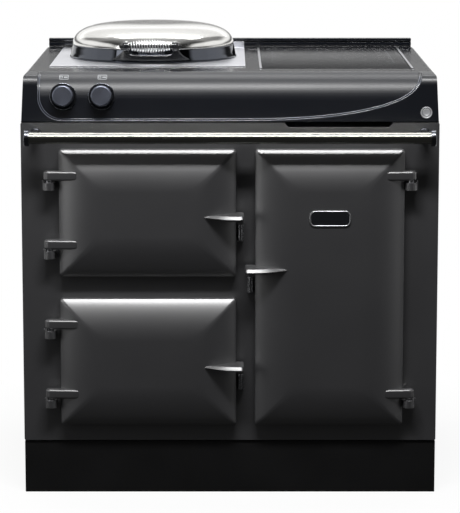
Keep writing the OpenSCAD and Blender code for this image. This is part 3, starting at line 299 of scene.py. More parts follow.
def hob_glass():
    """Black ceramic glass with its printed zone and touch marks"""
    f = Finish("black_glass", srgb(16, 18, 22), 0.07)
    x, y, z = f.axes()
    near = y.step(130, 560)
    f.set("Roughness", 0.07 + near * 0.17 + f.noise(30, 2) * 0.02)
    zone = line(box_edge(x, y, 232.5, 420, 135, 195, 55), 0.7)
    middle = line(box_edge(x, y, 232.5, 395, 6, 1.0, 1.0), 0.6)
    dashes = None
    for group, count, pitch in ((138, 8, 12.5), (246, 8, 12.5), (352, 3, 11)):
        for i in range(count):
            half = 2.6 if i % 2 else 3.8
            mark = line(box_edge(x, y, group + i * pitch, 163, half, 2.4, 2.0), 0.55)
            dashes = mark if dashes is None else dashes.over(mark)
    face = z.step(GLASS_TOP, GLASS_TOP + 0.8)
    f.tint(zone.over(middle).over(dashes) * face * 0.5, srgb(150, 154, 158))
    f.bump(f.noise(200, 2), 0.05, 0.00002)
    return f


def control_enamel():
    """Gloss black panel with a small generic sign over each knob"""
    f = Finish("control_enamel", srgb(12, 15, 23), 0.4, Specular_IOR_Level=0.6)
    x, y, z = f.axes()
    signs = None
    for knob_x in KNOB_X:
        outer = line(box_edge(x, z, knob_x + 1, 907, 9.5, 3.8, 1.6), 0.6)
        inner = line(box_edge(x, z, knob_x - 4.5, 907, 2.6, 1.6, 0.8), 0.5)
        bar = line(box_edge(x, z, knob_x + 5, 907, 3.6, 0.4, 0.3), 0.6)
        both = outer.over(inner).over(bar)
        signs = both if signs is None else signs.over(both)
    f.tint(signs * 0.75, srgb(160, 163, 166))
    f.set("Roughness", 0.4 + f.noise(9, 2) * 0.05)
    f.bump(f.noise(130, 3), 0.15, 0.00003)
    return f


def turned_metal(name, colour, rough, centres):
    """Metal turned on a lathe: rings round each centre, on faces that look forward"""
    f = Finish(name, colour, rough, 1.0)
    x, y, z = f.axes()
    rings = None
    for cx, cz in centres:
        dx = x - cx
        dz = z - cz
        reach = (dx * dx + dz * dz).root()
        wave = (reach * 5.0).math("SINE") * (1 - reach.step(40, 41))
        rings = wave if rings is None else rings + wave
    haze = f.noise(40, 3)
    f.set("Roughness", rough * 0.8 + haze * (rough * 0.4))
    f.tint(haze * 0.4, tuple(c * 0.7 for c in colour))
    f.bump(rings + haze * 0.5, 0.12, 0.00004)
    return f


def make_finishes():
    charcoal = enamel("satin_charcoal", srgb(33, 33, 36), 0.44, 0.00005, 0.3)
    charcoal.set("Specular IOR Level", 1.0)
    charcoal.set("Coat Weight", 1.0)
    charcoal.set("Coat Roughness", 0.43)
    charcoal.set("Coat IOR", 2.1)
    gloss = enamel("gloss_black", srgb(13, 16, 23), 0.4, 0.00002, 0.0, 0.55)
    gloss.set("Coat Roughness", 0.12)
    gloss.set("Specular IOR Level", 0.6)
    # The rolled front is duller than the deck behind it
    on_top = gloss.axes()[1].step(50, 80)
    gloss.set("Roughness", 0.38 - on_top * 0.2 + gloss.noise(9, 2) * 0.03)
    gloss.set("Coat Weight", on_top * 0.45 + 0.06)
    button = turned_metal("button_metal", srgb(206, 207, 210), 0.45, [(BUTTON_X, BUTTON_Z)])
    button.set("Metallic", 0.55)
    return {
        "satin_charcoal": charcoal,
        "gloss_black": gloss,
        "gloss_black_sheet": enamel("gloss_black_sheet", srgb(20, 22, 26), 0.2, 0.00008, 0.1, 0.3),
        "control_enamel": control_enamel(),
        "matt_black": enamel("matt_black", srgb(7, 7, 8), 0.5, 0.00008, 0.4),
        "galvanised": galvanised("galvanised", srgb(178, 181, 185), 0.42),
        "zinc_steel": brushed("zinc_steel", srgb(190, 190, 188), 0.36, (300, 300, 40)),
        "brushed_steel": brushed("brushed_steel", srgb(196, 197, 201), 0.3, (12, 900, 900)),
        "surround_steel": brushed("surround_steel", srgb(222, 223, 228), 0.36, (10, 700, 700)),
        "machined_iron": brushed("machined_iron", srgb(70, 71, 74), 0.45, (200, 200, 200), 0.00008),
        "black_glass": hob_glass(),
        "copper_litz": brushed("copper_litz", srgb(190, 110, 70), 0.35, (900, 900, 900), 0.0002),
        "black_plastic": moulded("black_plastic", srgb(22, 22, 24), 0.42),
        "polished_steel": brushed("polished_steel", srgb(222, 223, 225), 0.12, (6, 260, 260), 0.00001),
        "lid_steel": brushed("lid_steel", srgb(240, 239, 236), 0.17, (90, 90, 500), 0.00001),
        "dark_chrome": brushed("dark_chrome", srgb(104, 106, 112), 0.24, (60, 60, 60), 0.00002),
        "handle_iron": enamel("handle_iron", srgb(30, 31, 34), 0.25, 0.0001, 0.0, 0.5),
        "cream_plastic": moulded("cream_plastic", srgb(216, 210, 190), 0.5),
        "machined_steel": brushed("machined_steel", srgb(168, 169, 172), 0.27, (60, 60, 900)),
        "oven_enamel": enamel("oven_enamel", srgb(30, 30, 33), 0.3, 0.0001, 0.5, 0.2),
        "oven_enamel_sheet": enamel("oven_enamel_sheet", srgb(62, 64, 68), 0.28, 0.0001, 0.5, 0.2),
        "heater_sheath": brushed("heater_sheath", srgb(112, 98, 88), 0.4, (40, 400, 400)),
        "mineral_wool": fibrous("mineral_wool", srgb(206, 194, 150), 0.95, 320, 0.001),
        "dark_ring": brushed("dark_ring", srgb(86, 89, 96), 0.07, (90, 90, 500), 0.000004),
        "coil_steel": brushed("coil_steel", srgb(236, 237, 238), 0.34, (200, 200, 200), 0.00001),
        "rail_steel": brushed("rail_steel", srgb(162, 162, 156), 0.24, (4, 300, 300), 0.000002),
        # Grey beads: painted highlight for the light line that the black enamel step catches
        "bead_painted_highlight": enamel("bead_painted_highlight", srgb(96, 100, 110), 0.2, 0.00001, 0.0, 1.0),
        "pointer_metal": brushed("pointer_metal", srgb(120, 122, 126), 0.4, (60, 60, 60)),
        "knob_metal": turned_metal("knob_metal", srgb(116, 120, 132), 0.42, [(x, KNOB_Z) for x in KNOB_X]),
        "button_metal": button,
        "badge_rim": brushed("badge_rim", srgb(214, 215, 217), 0.36, (200, 200, 200), 0.00002),
        "bright_liner": brushed("bright_liner", srgb(176, 178, 180), 0.32, (300, 300, 14)),
        "rope_seal": fibrous("rope_seal", srgb(34, 33, 32), 0.9, 700, 0.0006),
        "badge_field": enamel("badge_field", srgb(26, 27, 30), 0.2, 0.00004, 0.0, 0.6),
    }


# ---------------------------------------------------------------- mesh work


def loop(bm, points):
    """A closed line of edges through the points"""
    verts = [bm.verts.new(p) for p in points]
    for a, b in zip(verts, verts[1:] + verts[:1]):
        bm.edges.new((a, b))
    return verts


def pull(bm, verts, points):
    """Extrudes a closed line of edges onto new points"""
    edges = [bm.edges.get((a, b)) for a, b in zip(verts, verts[1:] + verts[:1])]
    made = bmesh.ops.extrude_edge_only(bm, edges=edges)["geom"]
    fresh = {v for v in made if isinstance(v, bmesh.types.BMVert)}
    moved = [next(e.other_vert(v) for e in v.link_edges if e.other_vert(v) in fresh) for v in verts]
    for v, p in zip(moved, points):
        v.co = p
    return moved


def skin(bm, rings, foot=True, head=True):
    """A tube of skin through rings of points, closed at its ends"""
    first = last = loop(bm, rings[0])
    for points in rings[1:]:
        last = pull(bm, last, points)
    if foot:
        bm.faces.new(first)
    if head:
        bm.faces.new(last)


def turned(bm, profile, centre, axis, steps=64):
    """Spins a profile of (radius, height) points round an axis that starts at centre"""
    axis = Vector(axis).normalized()
    side = axis.orthogonal().normalized()
    verts = [bm.verts.new(Vector(centre) + (side * r + axis * h) * MM) for r, h in profile]
    edges = [bm.edges.new(pair) for pair in zip(verts, verts[1:])]
    bmesh.ops.spin(
        bm, geom=verts + edges, cent=centre, axis=axis, angle=math.tau, steps=steps, use_merge=True
    )


def soften(bm, edges, width, segments=2):
    """Rounds edges off; the width is in millimetres"""
    bmesh.ops.bevel(
        bm, geom=edges, offset=width * MM, affect="EDGES", segments=segments, profile=0.5, material=-1,
        clamp_overlap=True,
    )


def cushion_box(bm, x0, x1, y0, y1, z0, z1, r=1.0, segments=2):
    """A box with rounded edges"""
    made = bmesh.ops.create_cube(bm, size=1.0)["verts"]
    low, high = at(x0, y0, z0), at(x1, y1, z1)
    for v in made:
        v.co = Vector(low[i] + (v.co[i] + 0.5) * (high[i] - low[i]) for i in range(3))
    soften(bm, list({e for v in made for e in v.link_edges}), r, segments)


def soft_rect(x0, x1, z0, z1, r, y, n=5, near=8.0):
    """Points round a rounded rectangle that faces the front"""
    points = []
    corners = ((x1 - r, z1 - r, 0), (x0 + r, z1 - r, 90), (x0 + r, z0 + r, 180), (x1 - r, z0 + r, 270))
    for index, (cx, cz, turn) in enumerate(corners):
        arc = []
        for i in range(n + 1):
            a = math.radians(turn + 90 * i / n)
            arc.append((cx + r * math.cos(a), cz + r * math.sin(a)))
        nx, nz, nt = corners[(index + 1) % 4]
        na = math.radians(nt)
        start, end = arc[-1], (nx + r * math.cos(na), nz + r * math.sin(na))
        length = math.dist(start, end)
        shares = [near / length, 0.3, 0.7, 1 - near / length] if length > 4 * near else [0.2, 0.4, 0.6, 0.8]
        arc += [(start[0] + (end[0] - start[0]) * s, start[1] + (end[1] - start[1]) * s) for s in shares]
        points += arc
    return [at(px, y, pz) for px, pz in points]


def add_piece(name, bm, finish, body, nodes=(), sharp=32, flat_weights=True):
    bmesh.ops.remove_doubles(bm, verts=bm.verts, dist=2e-6)
    bmesh.ops.recalc_face_normals(bm, faces=bm.faces)
    limit = math.radians(sharp)
    for face in bm.faces:
        face.smooth = True
    for edge in bm.edges:
        edge.smooth = edge.is_manifold and edge.calc_face_angle() < limit
    mesh = bpy.data.meshes.new(name)
    bm.to_mesh(mesh)
    bm.free()
    mesh.materials.append(finish.material)
    piece = bpy.data.objects.new(name, mesh)
    scene.collection.objects.link(piece)
    if flat_weights:
        weights = piece.modifiers.new("flat_faces", "WEIGHTED_NORMAL")
        weights.keep_sharp = True
    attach(piece, body)
    if nodes:
        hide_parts(*nodes)
    return piece


def from_solid(node, width=0.0, segments=2, angle=28, choose=None):
    """A merged copy of a node's mesh with its sharp edges rounded"""
    bm = bmesh.new()
    bm.from_mesh(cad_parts[node].data)
    bmesh.ops.remove_doubles(bm, verts=bm.verts, dist=4e-6)
    bmesh.ops.dissolve_limit(
        bm, angle_limit=math.radians(0.7), verts=bm.verts, edges=bm.edges, use_dissolve_boundaries=False
    )
    if width:
        limit = math.radians(angle)
        edges = [e for e in bm.edges if e.is_manifold and e.calc_face_angle() > limit]
        if choose:
            edges = [e for e in edges if choose(e)]
        soften(bm, edges, width, segments)
    return bm


# ---------------------------------------------------------------- doors

# Left, right, foot and head of each door, the side it hinges on, and the height of its handle
DOORS = {
    "top_door": (-366.0, 13.5, 483.0, 757.4, 1, 615.5),
    "bottom_door": (-366.0, 13.5, 156.4, 435.0, 1, 288.9),
    "tall_door": (53.5, 373.5, 156.4, 757.4, -1, 501.4),
}
BAND = 88.0
RIM_Y = -18.6
RIM_ROUND = 4.8
PIN_X = 387
PIN_Y = -26
LUG_R = 11.0
LUG_H = 20.5


def dome_y(t):
    """Depth of the swelling face: steep just inside the edge, flat at the middle"""
    swell = 22.7 * (1 - (1 - t) ** 2)
    edge = 2.08 * (1 - math.exp(-t * BAND / 6))
    return -22.2 - swell - edge


def door_body(bm, x0, x1, z0, z1):
    """Back flange, rim, rounded edge and swelling face of a door, as one skin"""
    def ring(inset, r, y):
        return soft_rect(x0 + inset, x1 - inset, z0 + inset, z1 - inset, r, y)

    rings = [ring(30, 2, -18), ring(30, 2, -3.0), ring(1.0, 6.2, -3.0), ring(0, 7, -4.0)]
    rings.append(ring(0, 7, RIM_Y))
    for step in (8, 18, 28, 38, 48):
        a = math.radians(step)
        inset, y = RIM_ROUND * (1 - math.cos(a)), RIM_Y - RIM_ROUND * math.sin(a)
        rings.append(ring(inset, 7 - 1.5 * math.sin(a), y))
    steps = 30
    for i in range(steps + 1):
        t = (i / steps) ** 1.4
        rings.append(ring(1.8 + BAND * t, 5.6 + 16 * t ** 3, dome_y(t)))
    skin(bm, rings)


def hinge_lug(bm, pin_x, edge, side, z):
    """A rounded bar from the barrel round the pin in over the door's face"""
    far = edge + side * 43
    rings = []
    half = LUG_H / 2
    soft = 4.5
    levels = []
    for step in range(0, 91, 18):
        a = math.radians(step)
        levels.append((soft * (1 - math.sin(a)), -half + soft * (1 - math.cos(a))))
    levels += [(shrink, -h) for shrink, h in reversed(levels)]
    for shrink, height in levels:
        r = LUG_R - shrink
        nose = LUG_R - 1.7 * shrink
        tip = far - side * 2.2 * shrink
        points = []
        for step in range(0, 181, 15):
            a = math.radians(90 + step)
            points.append((pin_x + side * r * math.cos(a), PIN_Y + r * math.sin(a)))
        points.append((tip - side * 10, -28.6 - nose))
        points.append((tip - side * 4, -28.4 - nose))
        points.append((tip - side * 1, -27.0 - nose))
        points.append((tip, -24.5 - nose))
        points.append((tip, PIN_Y + r * 0.6))
        rings.append([at(px, py, z + height) for px, py in points])
    skin(bm, rings)


def door_handle(bm, free, side, z, out):
    """Blade handle: a thin wedge that widens towards the free edge and runs past it"""
    def front(x):
        stops = [(-72, -44), (-58, -52.5), (-45, -59), (-30, -64.5), (-15, -68), (0, -70),
                 (out - 7, -71), (out - 3, -70.2), (out - 1, -68), (out, -64)]
        for (xa, ya), (xb, yb) in zip(stops, stops[1:]):
            if xa <= x <= xb:
                return ya + (yb - ya) * (x - xa) / (xb - xa)
        return stops[-1][1]

    places = [-72, -65, -58, -51, -45, -37, -30, -22, -15, -7, 0,
              (out - 7) / 2, out - 7, out - 5, out - 3, out - 1.8, out - 1, out - 0.4, out]
    rings = []
    for x in places:
        f = front(x)
        back = -24 if x < -4 else -14
        middle = (back + f) * 0.5
        thin = min(1.0, 0.35 + 0.65 * (x + 72) / 50)
        end = max(0.0, (x - (out - 3)) / 3)
        half = 6.0 * thin - 1.2 * end
        section = [
            (back, half), (middle, half * 0.82 - 0.2), (f + 9, 5.0 * thin - 0.6 * end),
            (f + 5.6, 4.5 * thin - 0.8 * end), (f + 4.2, 3.7 * thin - 0.6 * end), (f + 1.0, -1.0 * thin),
            (f, -2.5 * thin), (f + 1.2, -3.4 * thin), (f + 9, -3.6 * thin),
            (middle, -0.55 * half), (back, -half),
        ]
        rings.append([at(free + side * x, y, z + h) for y, h in section])
    skin(bm, rings)

    def bar(x0, x1, *rest):
        xs = sorted((free + side * x0, free + side * x1))
        cushion_box(bm, *xs, *rest)

    bar(out - 3.6, out - 0.1, -63, -49, z - 11, z + 1, 1.2, 2)
    web = ((-40, -28), (-31, -50.5), (out - 8, -54), (out - 5.6, -52), (out - 5.6, -13), (-6, -13), (-6, -28))
    before = set(bm.verts)
    skin(bm, [[at(free + side * x, y, z + level) for x, y in web] for level in (-9, -1)])
    fresh = [v for v in bm.verts if v not in before]
    soften(bm, list({e for v in fresh for e in v.link_edges}), 1.4)
    bar(2.2, 13.5, -21, -11, z - 20, z - 2, 1.2, 2)


def build_doors(finishes):
    for name, (x0, x1, z0, z1, side, grip) in DOORS.items():
        bm = bmesh.new()
        door_body(bm, x0, x1, z0, z1)
        pin_x = -side * PIN_X
        edge = x0 if side > 0 else x1
        for z in (z0 + 71, z1 - 55):
            hinge_lug(bm, pin_x, edge, side, z)
        free = x1 if side > 0 else x0
        door_handle(bm, free, side, grip, 16 if side > 0 else 21.5)
        shell, liner, seal = (name + part for part in ("_shell", "_liner", "_seal"))
        add_piece(name + "_casting", bm, finishes["satin_charcoal"], name, [shell], 40)
        bm = from_solid(liner, 1.5, 2)
        add_piece(name + "_bright_liner", bm, finishes["bright_liner"], name, [liner])
        bm = from_solid(seal, 0.9, 3)
        add_piece(name + "_rope", bm, finishes["rope_seal"], name, [seal], 80)


def build_badge(finishes):
    """Plain plate: a raised bright rim round a bare dark field"""
    x0, x1, z0, z1 = 169.5, 257.5, 595.4, 629.4

    def plate(levels):
        bm = bmesh.new()
        rings = []
        for inset, y in levels:
            corner = max(2.0, 12 - inset)
            rings.append(soft_rect(x0 + inset, x1 - inset, z0 + inset, z1 - inset, corner, y, 8, 2.0))
        skin(bm, rings)
        return bm

    rim = ((0.3, -47.02), (0, -47.4), (0, -49.0), (0.3, -49.7), (1.0, -50.0), (2.2, -49.9),
           (2.8, -49.5), (3.0, -49.0))
    field = ((3.0, -48.9), (3.1, -49.1), (3.6, -49.2), (10, -49.35))
    add_piece("badge_rim", plate(rim), finishes["badge_rim"], "tall_door", ["badge"], 50)
    add_piece("badge_field", plate(field), finishes["badge_field"], "tall_door", (), 50)


# ---------------------------------------------------------------- hinges, latches, rails


def build_front_fittings(finishes):
    charcoal = finishes["satin_charcoal"]
    bm = from_solid("hinge_brackets", 2.2, 3)
    add_piece("hinge_knuckles", bm, charcoal, "cooker", ["hinge_brackets"], 40)
    steel = finishes["machined_steel"]
    bm = bmesh.new()
    for x0, x1, z0, z1, side, grip in DOORS.values():
        free = x1 if side > 0 else x0
        x = free + side * 9
        top = grip - 20.5
        profile = [(0, 0), (4.6, 0), (5.6, 0.5), (6, 1.6), (6, 27.4), (5.3, 27.8), (5.3, 28.6), (6, 29),
                   (6, 33.4), (5.6, 34.5), (4.6, 35), (0, 35)]
        turned(bm, profile, at(x, -14, top - 35), (0, 0, 1), 40)
        cushion_box(bm, x - 7, x + 7, -10, 0, top - 37, top - 2, 1.5, 3)
    add_piece("latch_rollers", bm, steel, "cooker", ["latch_keepers"], 40)

    bm = bmesh.new()
    profile = [(11, -430.3), (12.2, -430.3), (12.5, -430)]
    profile += [(r, -h) for r, h in reversed(profile)] + [(11, -430.3)]
    turned(bm, profile, at(0, RAIL_Y, RAIL_Z), (1, 0, 0), 72)
    add_piece("towel_rail", bm, finishes["rail_steel"], "cooker", ["handrail"], 60)

    bm = bmesh.new()
    for side in (-1, 1):
        collar = [(12.6, 0.2), (16.4, 0.2), (17.2, 0.6), (17.5, 1.6), (17.5, 8.9), (17.2, 9.9), (16.4, 10.5),
                  (11, 10.5), (4, 10.1), (0, 10.0), (0, 5.5), (12.6, 5.5), (12.6, 0.2)]
        turned(bm, collar, at(side * 425, RAIL_Y, RAIL_Z), (side, 0, 0), 64)
        neck = [(0, 0), (13, 0), (14, 1), (14, 6.4), (13.4, 7.6), (11.6, 8.4), (11, 9.6), (11, 62), (0, 62)]
        turned(bm, neck, at(side * 416, 0, RAIL_Z + 1), (0, -1, 0), 56)
    add_piece("rail_ends", bm, finishes["dark_chrome"], "cooker", ["handrail_brackets"], 40)

    bm = from_solid("rear_rail", 1.2, 2)
    add_piece("deck_rail", bm, finishes["gloss_black"], "cooker", ["rear_rail"], 40)


# ---------------------------------------------------------------- shell and deck


def build_shell(finishes):
    # Node, piece, width of its rounded edges, finish and slot
    rounded = (
        ("plinth", "plinth_sheet", 1.2, "matt_black", "matt_black"),
        ("front_plate", "front_casting", 1.6, "satin_charcoal", "satin_charcoal"),
        ("side_panel_left", "left_side_sheet", 0.8, "gloss_black_sheet", "gloss_black_sheet"),
        ("side_panel_right", "right_side_sheet", 0.8, "gloss_black_sheet", "gloss_black_sheet"),
        ("back_panel", "back_sheet", 0.6, "galvanised", "galvanised"),
        ("back_panel_screws", "back_screws", 0.6, "zinc_steel", "zinc_steel"),
        ("base_tray", "base_sheet", 0.5, "galvanised", "galvanised"),
        ("levelling_feet", "feet", 1.0, "zinc_steel", "zinc_steel"),
        ("hotplate_surround", "surround_sheet", 0.6, "surround_steel", "brushed_steel"),
        ("glass_trims", "glass_side_trims", 0.5, "brushed_steel", "brushed_steel"),
        ("induction_glass", "hob_glass", 0.8, "black_glass", "black_glass"),
        ("lid_hinge_bracket", "lid_hinge_fork", 1.0, "brushed_steel", "brushed_steel"),
        ("cable_gland", "inlet_gland", 0.8, "black_plastic", "black_plastic"),
        ("terminal_box", "terminal_case", 0.6, "galvanised", "galvanised"),
        ("control_box", "control_case", 0.6, "galvanised", "galvanised"),
    )
    for node, name, width, finish, slot in rounded:
        bm = from_solid(node, width, 2)
        add_piece(name, bm, finishes[finish], "cooker", [node], 40)

    def on_front(edge):
        return all(v.co[1] < PLATE_FACE + 0.075 for v in edge.verts)

    bm = from_solid("top_plate", 1.9, 3, 26, on_front)
    rest = [e for e in bm.edges if e.is_manifold and e.calc_face_angle() > 0.8 and not on_front(e)]
    soften(bm, rest, 0.9)
    add_piece("deck_casting", bm, finishes["gloss_black"], "cooker", ["top_plate"], 30)
    bm = from_solid("fascia_panel", 0.4, 2, 24)
    panel = finishes["control_enamel"]
    add_piece("control_panel", bm, panel, "cooker", ["fascia_panel"], 30)

    bm = bmesh.new()
    profile = [(0, -25), (148.5, -25), (149.5, -24), (149.5, -10.2), (166.5, -10), (167.5, -9),
               (167.5, -1.2), (166.9, -0.4), (165.6, 0)]
    for r in range(160, 6, -6):
        profile += [(r + 1.2, 0), (r, -0.25), (r - 1.2, 0)]
    profile.append((0, 0))
    turned(bm, profile, at(LID_X, LID_Y, DECK_TOP), (0, 0, 1), 96)
    add_piece("cast_hotplate", bm, finishes["machined_iron"], "cooker", ["hotplate"], 30)


# ---------------------------------------------------------------- controls

# Axis and radius of the rolled front, and the knobs' axis, square to it
ROLL_Y, ROLL_Z, ROLL_R = 64, 860, 56
KNOB_TILT = math.asin((KNOB_Z - ROLL_Z) / ROLL_R)
KNOB_Y = ROLL_Y - ROLL_R * math.cos(KNOB_TILT)
KNOB_AXIS = (0, -math.cos(KNOB_TILT), math.sin(KNOB_TILT))


def panel_edge(grow, steps=60):
    """Outline of the control panel: down its left side, round the corner, then the sweep up to the right"""
    half, corner, foot, top = 406.5 + grow, 47 + grow, 820.5 - grow, 920.0
    points = [(-half, z) for z in range(912, 868, -4)]
    for i in range(13):
        a = math.radians(180 + 90 * i / 12)
        points.append((-half + corner + corner * math.cos(a), foot + corner + corner * math.sin(a)))
    points += [(x, foot) for x in range(-340, -60, 20)]
    for i in range(steps + 1):
        a = math.radians(82 - 78 * i / steps)
        x = half * math.cos(a) ** (2 / 2.45)
        z = top - (top - foot) * math.sin(a) ** (2 / 2.45)
        if x > -55:
            points.append((x, z))
    return points


def on_roll(x, z, depth):
    """Point over the rolled front, and which way it faces"""
    if z <= ROLL_Z:
        return at(x, ROLL_Y - ROLL_R + depth, z), Vector((0, -1, 0))
    r = ROLL_R - depth
    sine = min(0.995, (z - ROLL_Z) / r)
    cosine = math.sqrt(1 - sine * sine)
    return at(x, ROLL_Y - r * cosine, z), Vector((0, -cosine, sine))


def build_panel_bead(finishes):
    """Two fine beads on the step round the control panel: their shape catches light, and their grey colour
    paints a highlight line on the black step
    """
    thick, sides = 1.15, 10
    bm = bmesh.new()
    for grow, depth in ((4.3, -4.2), (0.6, -2.3)):
        path = [on_roll(x, z, depth) for x, z in panel_edge(grow)]
        rings = []
        for i, (spot, out) in enumerate(path):
            ahead = (path[min(i + 1, len(path) - 1)][0] - path[max(i - 1, 0)][0]).normalized()
            out = (out - ahead * out.dot(ahead)).normalized()
            side = ahead.cross(out)
            turns = [math.tau * k / sides for k in range(sides)]
            rings.append([spot + (out * math.cos(a) + side * math.sin(a)) * thick * MM for a in turns])
        skin(bm, rings)
    add_piece("panel_beads", bm, finishes["bead_painted_highlight"], "cooker", (), 60)


def build_controls(finishes):
    for x, name in zip(KNOB_X, ("knob_left", "knob_right")):
        bm = bmesh.new()
        profile = [(0, -22), (3.3, -22), (3.5, -21.7), (3.5, 1.2), (21.6, 1.0), (22.6, 1.3), (23.1, 2.2),
                   (22.9, 6), (22.6, 14), (22.35, 22.6), (22.1, 23.9), (21.5, 24.9), (20.6, 25.6),
                   (19.4, 25.95), (18.6, 25.9), (18.2, 25.5), (12, 25.42), (0, 25.4)]
        turned(bm, profile, at(x, KNOB_Y, KNOB_Z), KNOB_AXIS, 80)
        add_piece(name + "_turned", bm, finishes["knob_metal"], name, [name], 30)
        bm = bmesh.new()
        made = bmesh.ops.create_cube(bm, size=1.0)["verts"]
        turn = Matrix.Rotation(-KNOB_TILT, 4, "X")
        for v in made:
            v.co = Vector((v.co[0] * 1.1, v.co[1] * 0.6, v.co[2] * 9))
        bmesh.ops.bevel(
            bm, geom=list(bm.edges), offset=0.25, affect="EDGES", segments=2, profile=0.5, material=-1
        )
        tip = at(x, KNOB_Y, KNOB_Z) + Vector(KNOB_AXIS) * 25.55 * MM
        for v in bm.verts:
            v.co = turn @ (v.co * MM + Vector((0, 0, 12.5 * MM))) + tip
        add_piece(name + "_pointer", bm, finishes["pointer_metal"], name, (), 30)

    bm = bmesh.new()
    profile = [(24.3, -2), (24.3, 2.2), (24.7, 2.8), (25.4, 3.0), (27.4, 3.0), (28.3, 2.7), (28.9, 2.0),
               (29, 1.0), (29, -2), (24.3, -2)]
    for x in KNOB_X:
        turned(bm, profile, at(x, KNOB_Y, KNOB_Z), KNOB_AXIS, 80)
    add_piece("knob_rings", bm, finishes["dark_chrome"], "cooker", ["knob_bezels"], 40)

    bm = bmesh.new()
    profile = [(9.0, 12), (9.0, 0.4), (9.4, -0.4), (10.2, -1.2), (10.8, -1.9), (11.6, -2.0), (12.4, -1.6),
               (12.7, -0.8), (12.7, -0.05), (10, 0.2), (9.9, 24), (9.0, 24), (9.0, 12)]
    turned(bm, profile, at(BUTTON_X, 3, BUTTON_Z), (0, 1, 0), 64)
    add_piece("button_ring", bm, finishes["button_metal"], "cooker", ["button_bezel"], 40)
    bm = bmesh.new()
    profile = [(0, -0.3), (2.5, -0.3), (5, -0.35), (5.4, -0.7), (6.0, -0.95), (7.6, -1.0), (8.3, -0.7),
               (8.5, -0.1), (8.5, 8.5), (2, 8.5), (2, 18.5), (0, 18.5)]
    turned(bm, profile, at(BUTTON_X, 3, BUTTON_Z), (0, 1, 0), 64)
    cap = finishes["button_metal"]
    add_piece("button_cap", bm, cap, "power_button", ["power_button"], 40)


# ---------------------------------------------------------------- lid

SEAM_R, SEAM_Z, DOME_H = 184.0, 947.3, 49.0
COIL_Y, COIL_Z = 204, 959


def lid_profile(r, h, steps=40):
    """The dome's section from its crown out to the seam: flat on top, with a steep shoulder"""
    points = []
    for i in range(steps + 1):
        a = math.radians(90 * i / steps)
        points.append((r * math.sin(a) ** 0.5, h * math.cos(a) ** (2 / 2.2)))
    return points


def grip_foot(bm, side):
    """Half of the low bar under the coil: it follows the ring, rises at the bracket, then thins out"""
    places = ((0, 936.5), (14, 936.5), (30, 936.7), (40, 937.2), (46, 939), (50, 946), (53, 950), (59, 950),
              (63, 944), (68, 938.5), (74, 933.5), (80, 929.5), (85, 926.8))
    rings = []
    for x, top in places:
        front = LID_Y - math.sqrt(196.5 ** 2 - x * x) + (x / 85) ** 6 * 3.5
        back = LID_Y - math.sqrt(178 ** 2 - x * x)
        soft = min(3.0, (top - 925) / 2.5)
        section = [(front + 0.6, 924.6), (front, 925.4), (front, top - soft),
                   (front + soft * 0.3, top - soft * 0.35), (front + soft, top), (back, top), (back, 924.6)]
        rings.append([at(LID_X + side * x, y, z) for y, z in section])
    skin(bm, rings, foot=False)


def build_lid(finishes):
    bm = bmesh.new()
    outer = lid_profile(SEAM_R, DOME_H)
    inner = lid_profile(SEAM_R - 3, DOME_H - 3)
    outer[-1:] = [(SEAM_R, 0.4), (SEAM_R - 0.3, 0.0)]
    turned(bm, outer + list(reversed(inner)), at(LID_X, LID_Y, SEAM_Z), (0, 0, 1), 128)
    add_piece("lid_dome", bm, finishes["lid_steel"], "lid", ["lid_shell"], 50, False)

    bm = bmesh.new()
    profile = [(190.3, 0), (190.8, 0.3), (191, 0.9), (190.9, 2.2), (190.2, 3.2), (189.4, 4.2), (187.9, 12),
               (185.9, 22), (185.0, 26.2), (184.9, 27.4), (184.5, 28.4), (183.8, 28.9), (176.4, 28.9),
               (183, 0.2), (190.3, 0)]
    turned(bm, profile, at(LID_X, LID_Y, 918.3), (0, 0, 1), 128)
    add_piece("lid_band", bm, finishes["dark_ring"], "lid", ["lid_ring"], 30)

    bm = bmesh.new()
    profile = [(173.4, 32), (175.4, 32), (175.7, 31.6), (175.7, 1), (174.8, 0), (120, 0), (116, 1.2),
               (0, 1.2), (0, 2.6), (116, 2.6), (173.4, 2.6), (173.4, 32)]
    turned(bm, profile, at(LID_X, LID_Y, 925), (0, 0, 1), 96)
    add_piece("lid_inner_plate", bm, finishes["brushed_steel"], "lid", ["lid_liner"], 30)

    bm = from_solid("lid_hinge_arm", 1.2, 3)
    add_piece("lid_arm", bm, finishes["brushed_steel"], "lid", ["lid_hinge_arm"], 40)
    bm = bmesh.new()
    for side in (-1, 1):
        head = [(0, 47.4), (8.2, 47.4), (9.4, 48.0), (9.8, 49.2), (9.8, 51.4), (8.8, 52.2), (8.8, 53.0),
                (10.2, 53.6), (10.8, 54.8), (10.8, 57.2), (10, 58.8), (8, 60.0), (0, 60.2)]
        turned(bm, head, at(LID_X, COIL_Y, COIL_Z), (side, 0, 0), 48)
        xs = sorted((LID_X + side * 48.6, LID_X + side * 59.4))
        cushion_box(bm, *xs, COIL_Y, 262, COIL_Z - 10, COIL_Z + 8, 3.0, 3)
        grip_foot(bm, side)
    add_piece("grip_brackets", bm, finishes["handle_iron"], "lid", ["lid_handle_brackets"], 40)

    bm = bmesh.new()
    half = 47.3 + 13
    profile = [(0, -half - 8.5), (2.6, -half - 8.2), (4.6, -half - 6.8), (5.4, -half - 4.6),
               (5.5, -half - 4.2), (7.2, -half - 4), (7.5, -half - 3.6), (7.5, -half - 0.6),
               (7.2, -half - 0.3), (4, -half - 0.3)]
    profile += [(r, -h) for r, h in reversed(profile)]
    turned(bm, profile, at(LID_X, COIL_Y, COIL_Z), (1, 0, 0), 40)
    # The rod is matt black: its colour paints the shade inside the coil
    add_piece("grip_rod", bm, finishes["matt_black"], "lid", ["lid_handle_rod"], 40)
    build_coil(finishes)


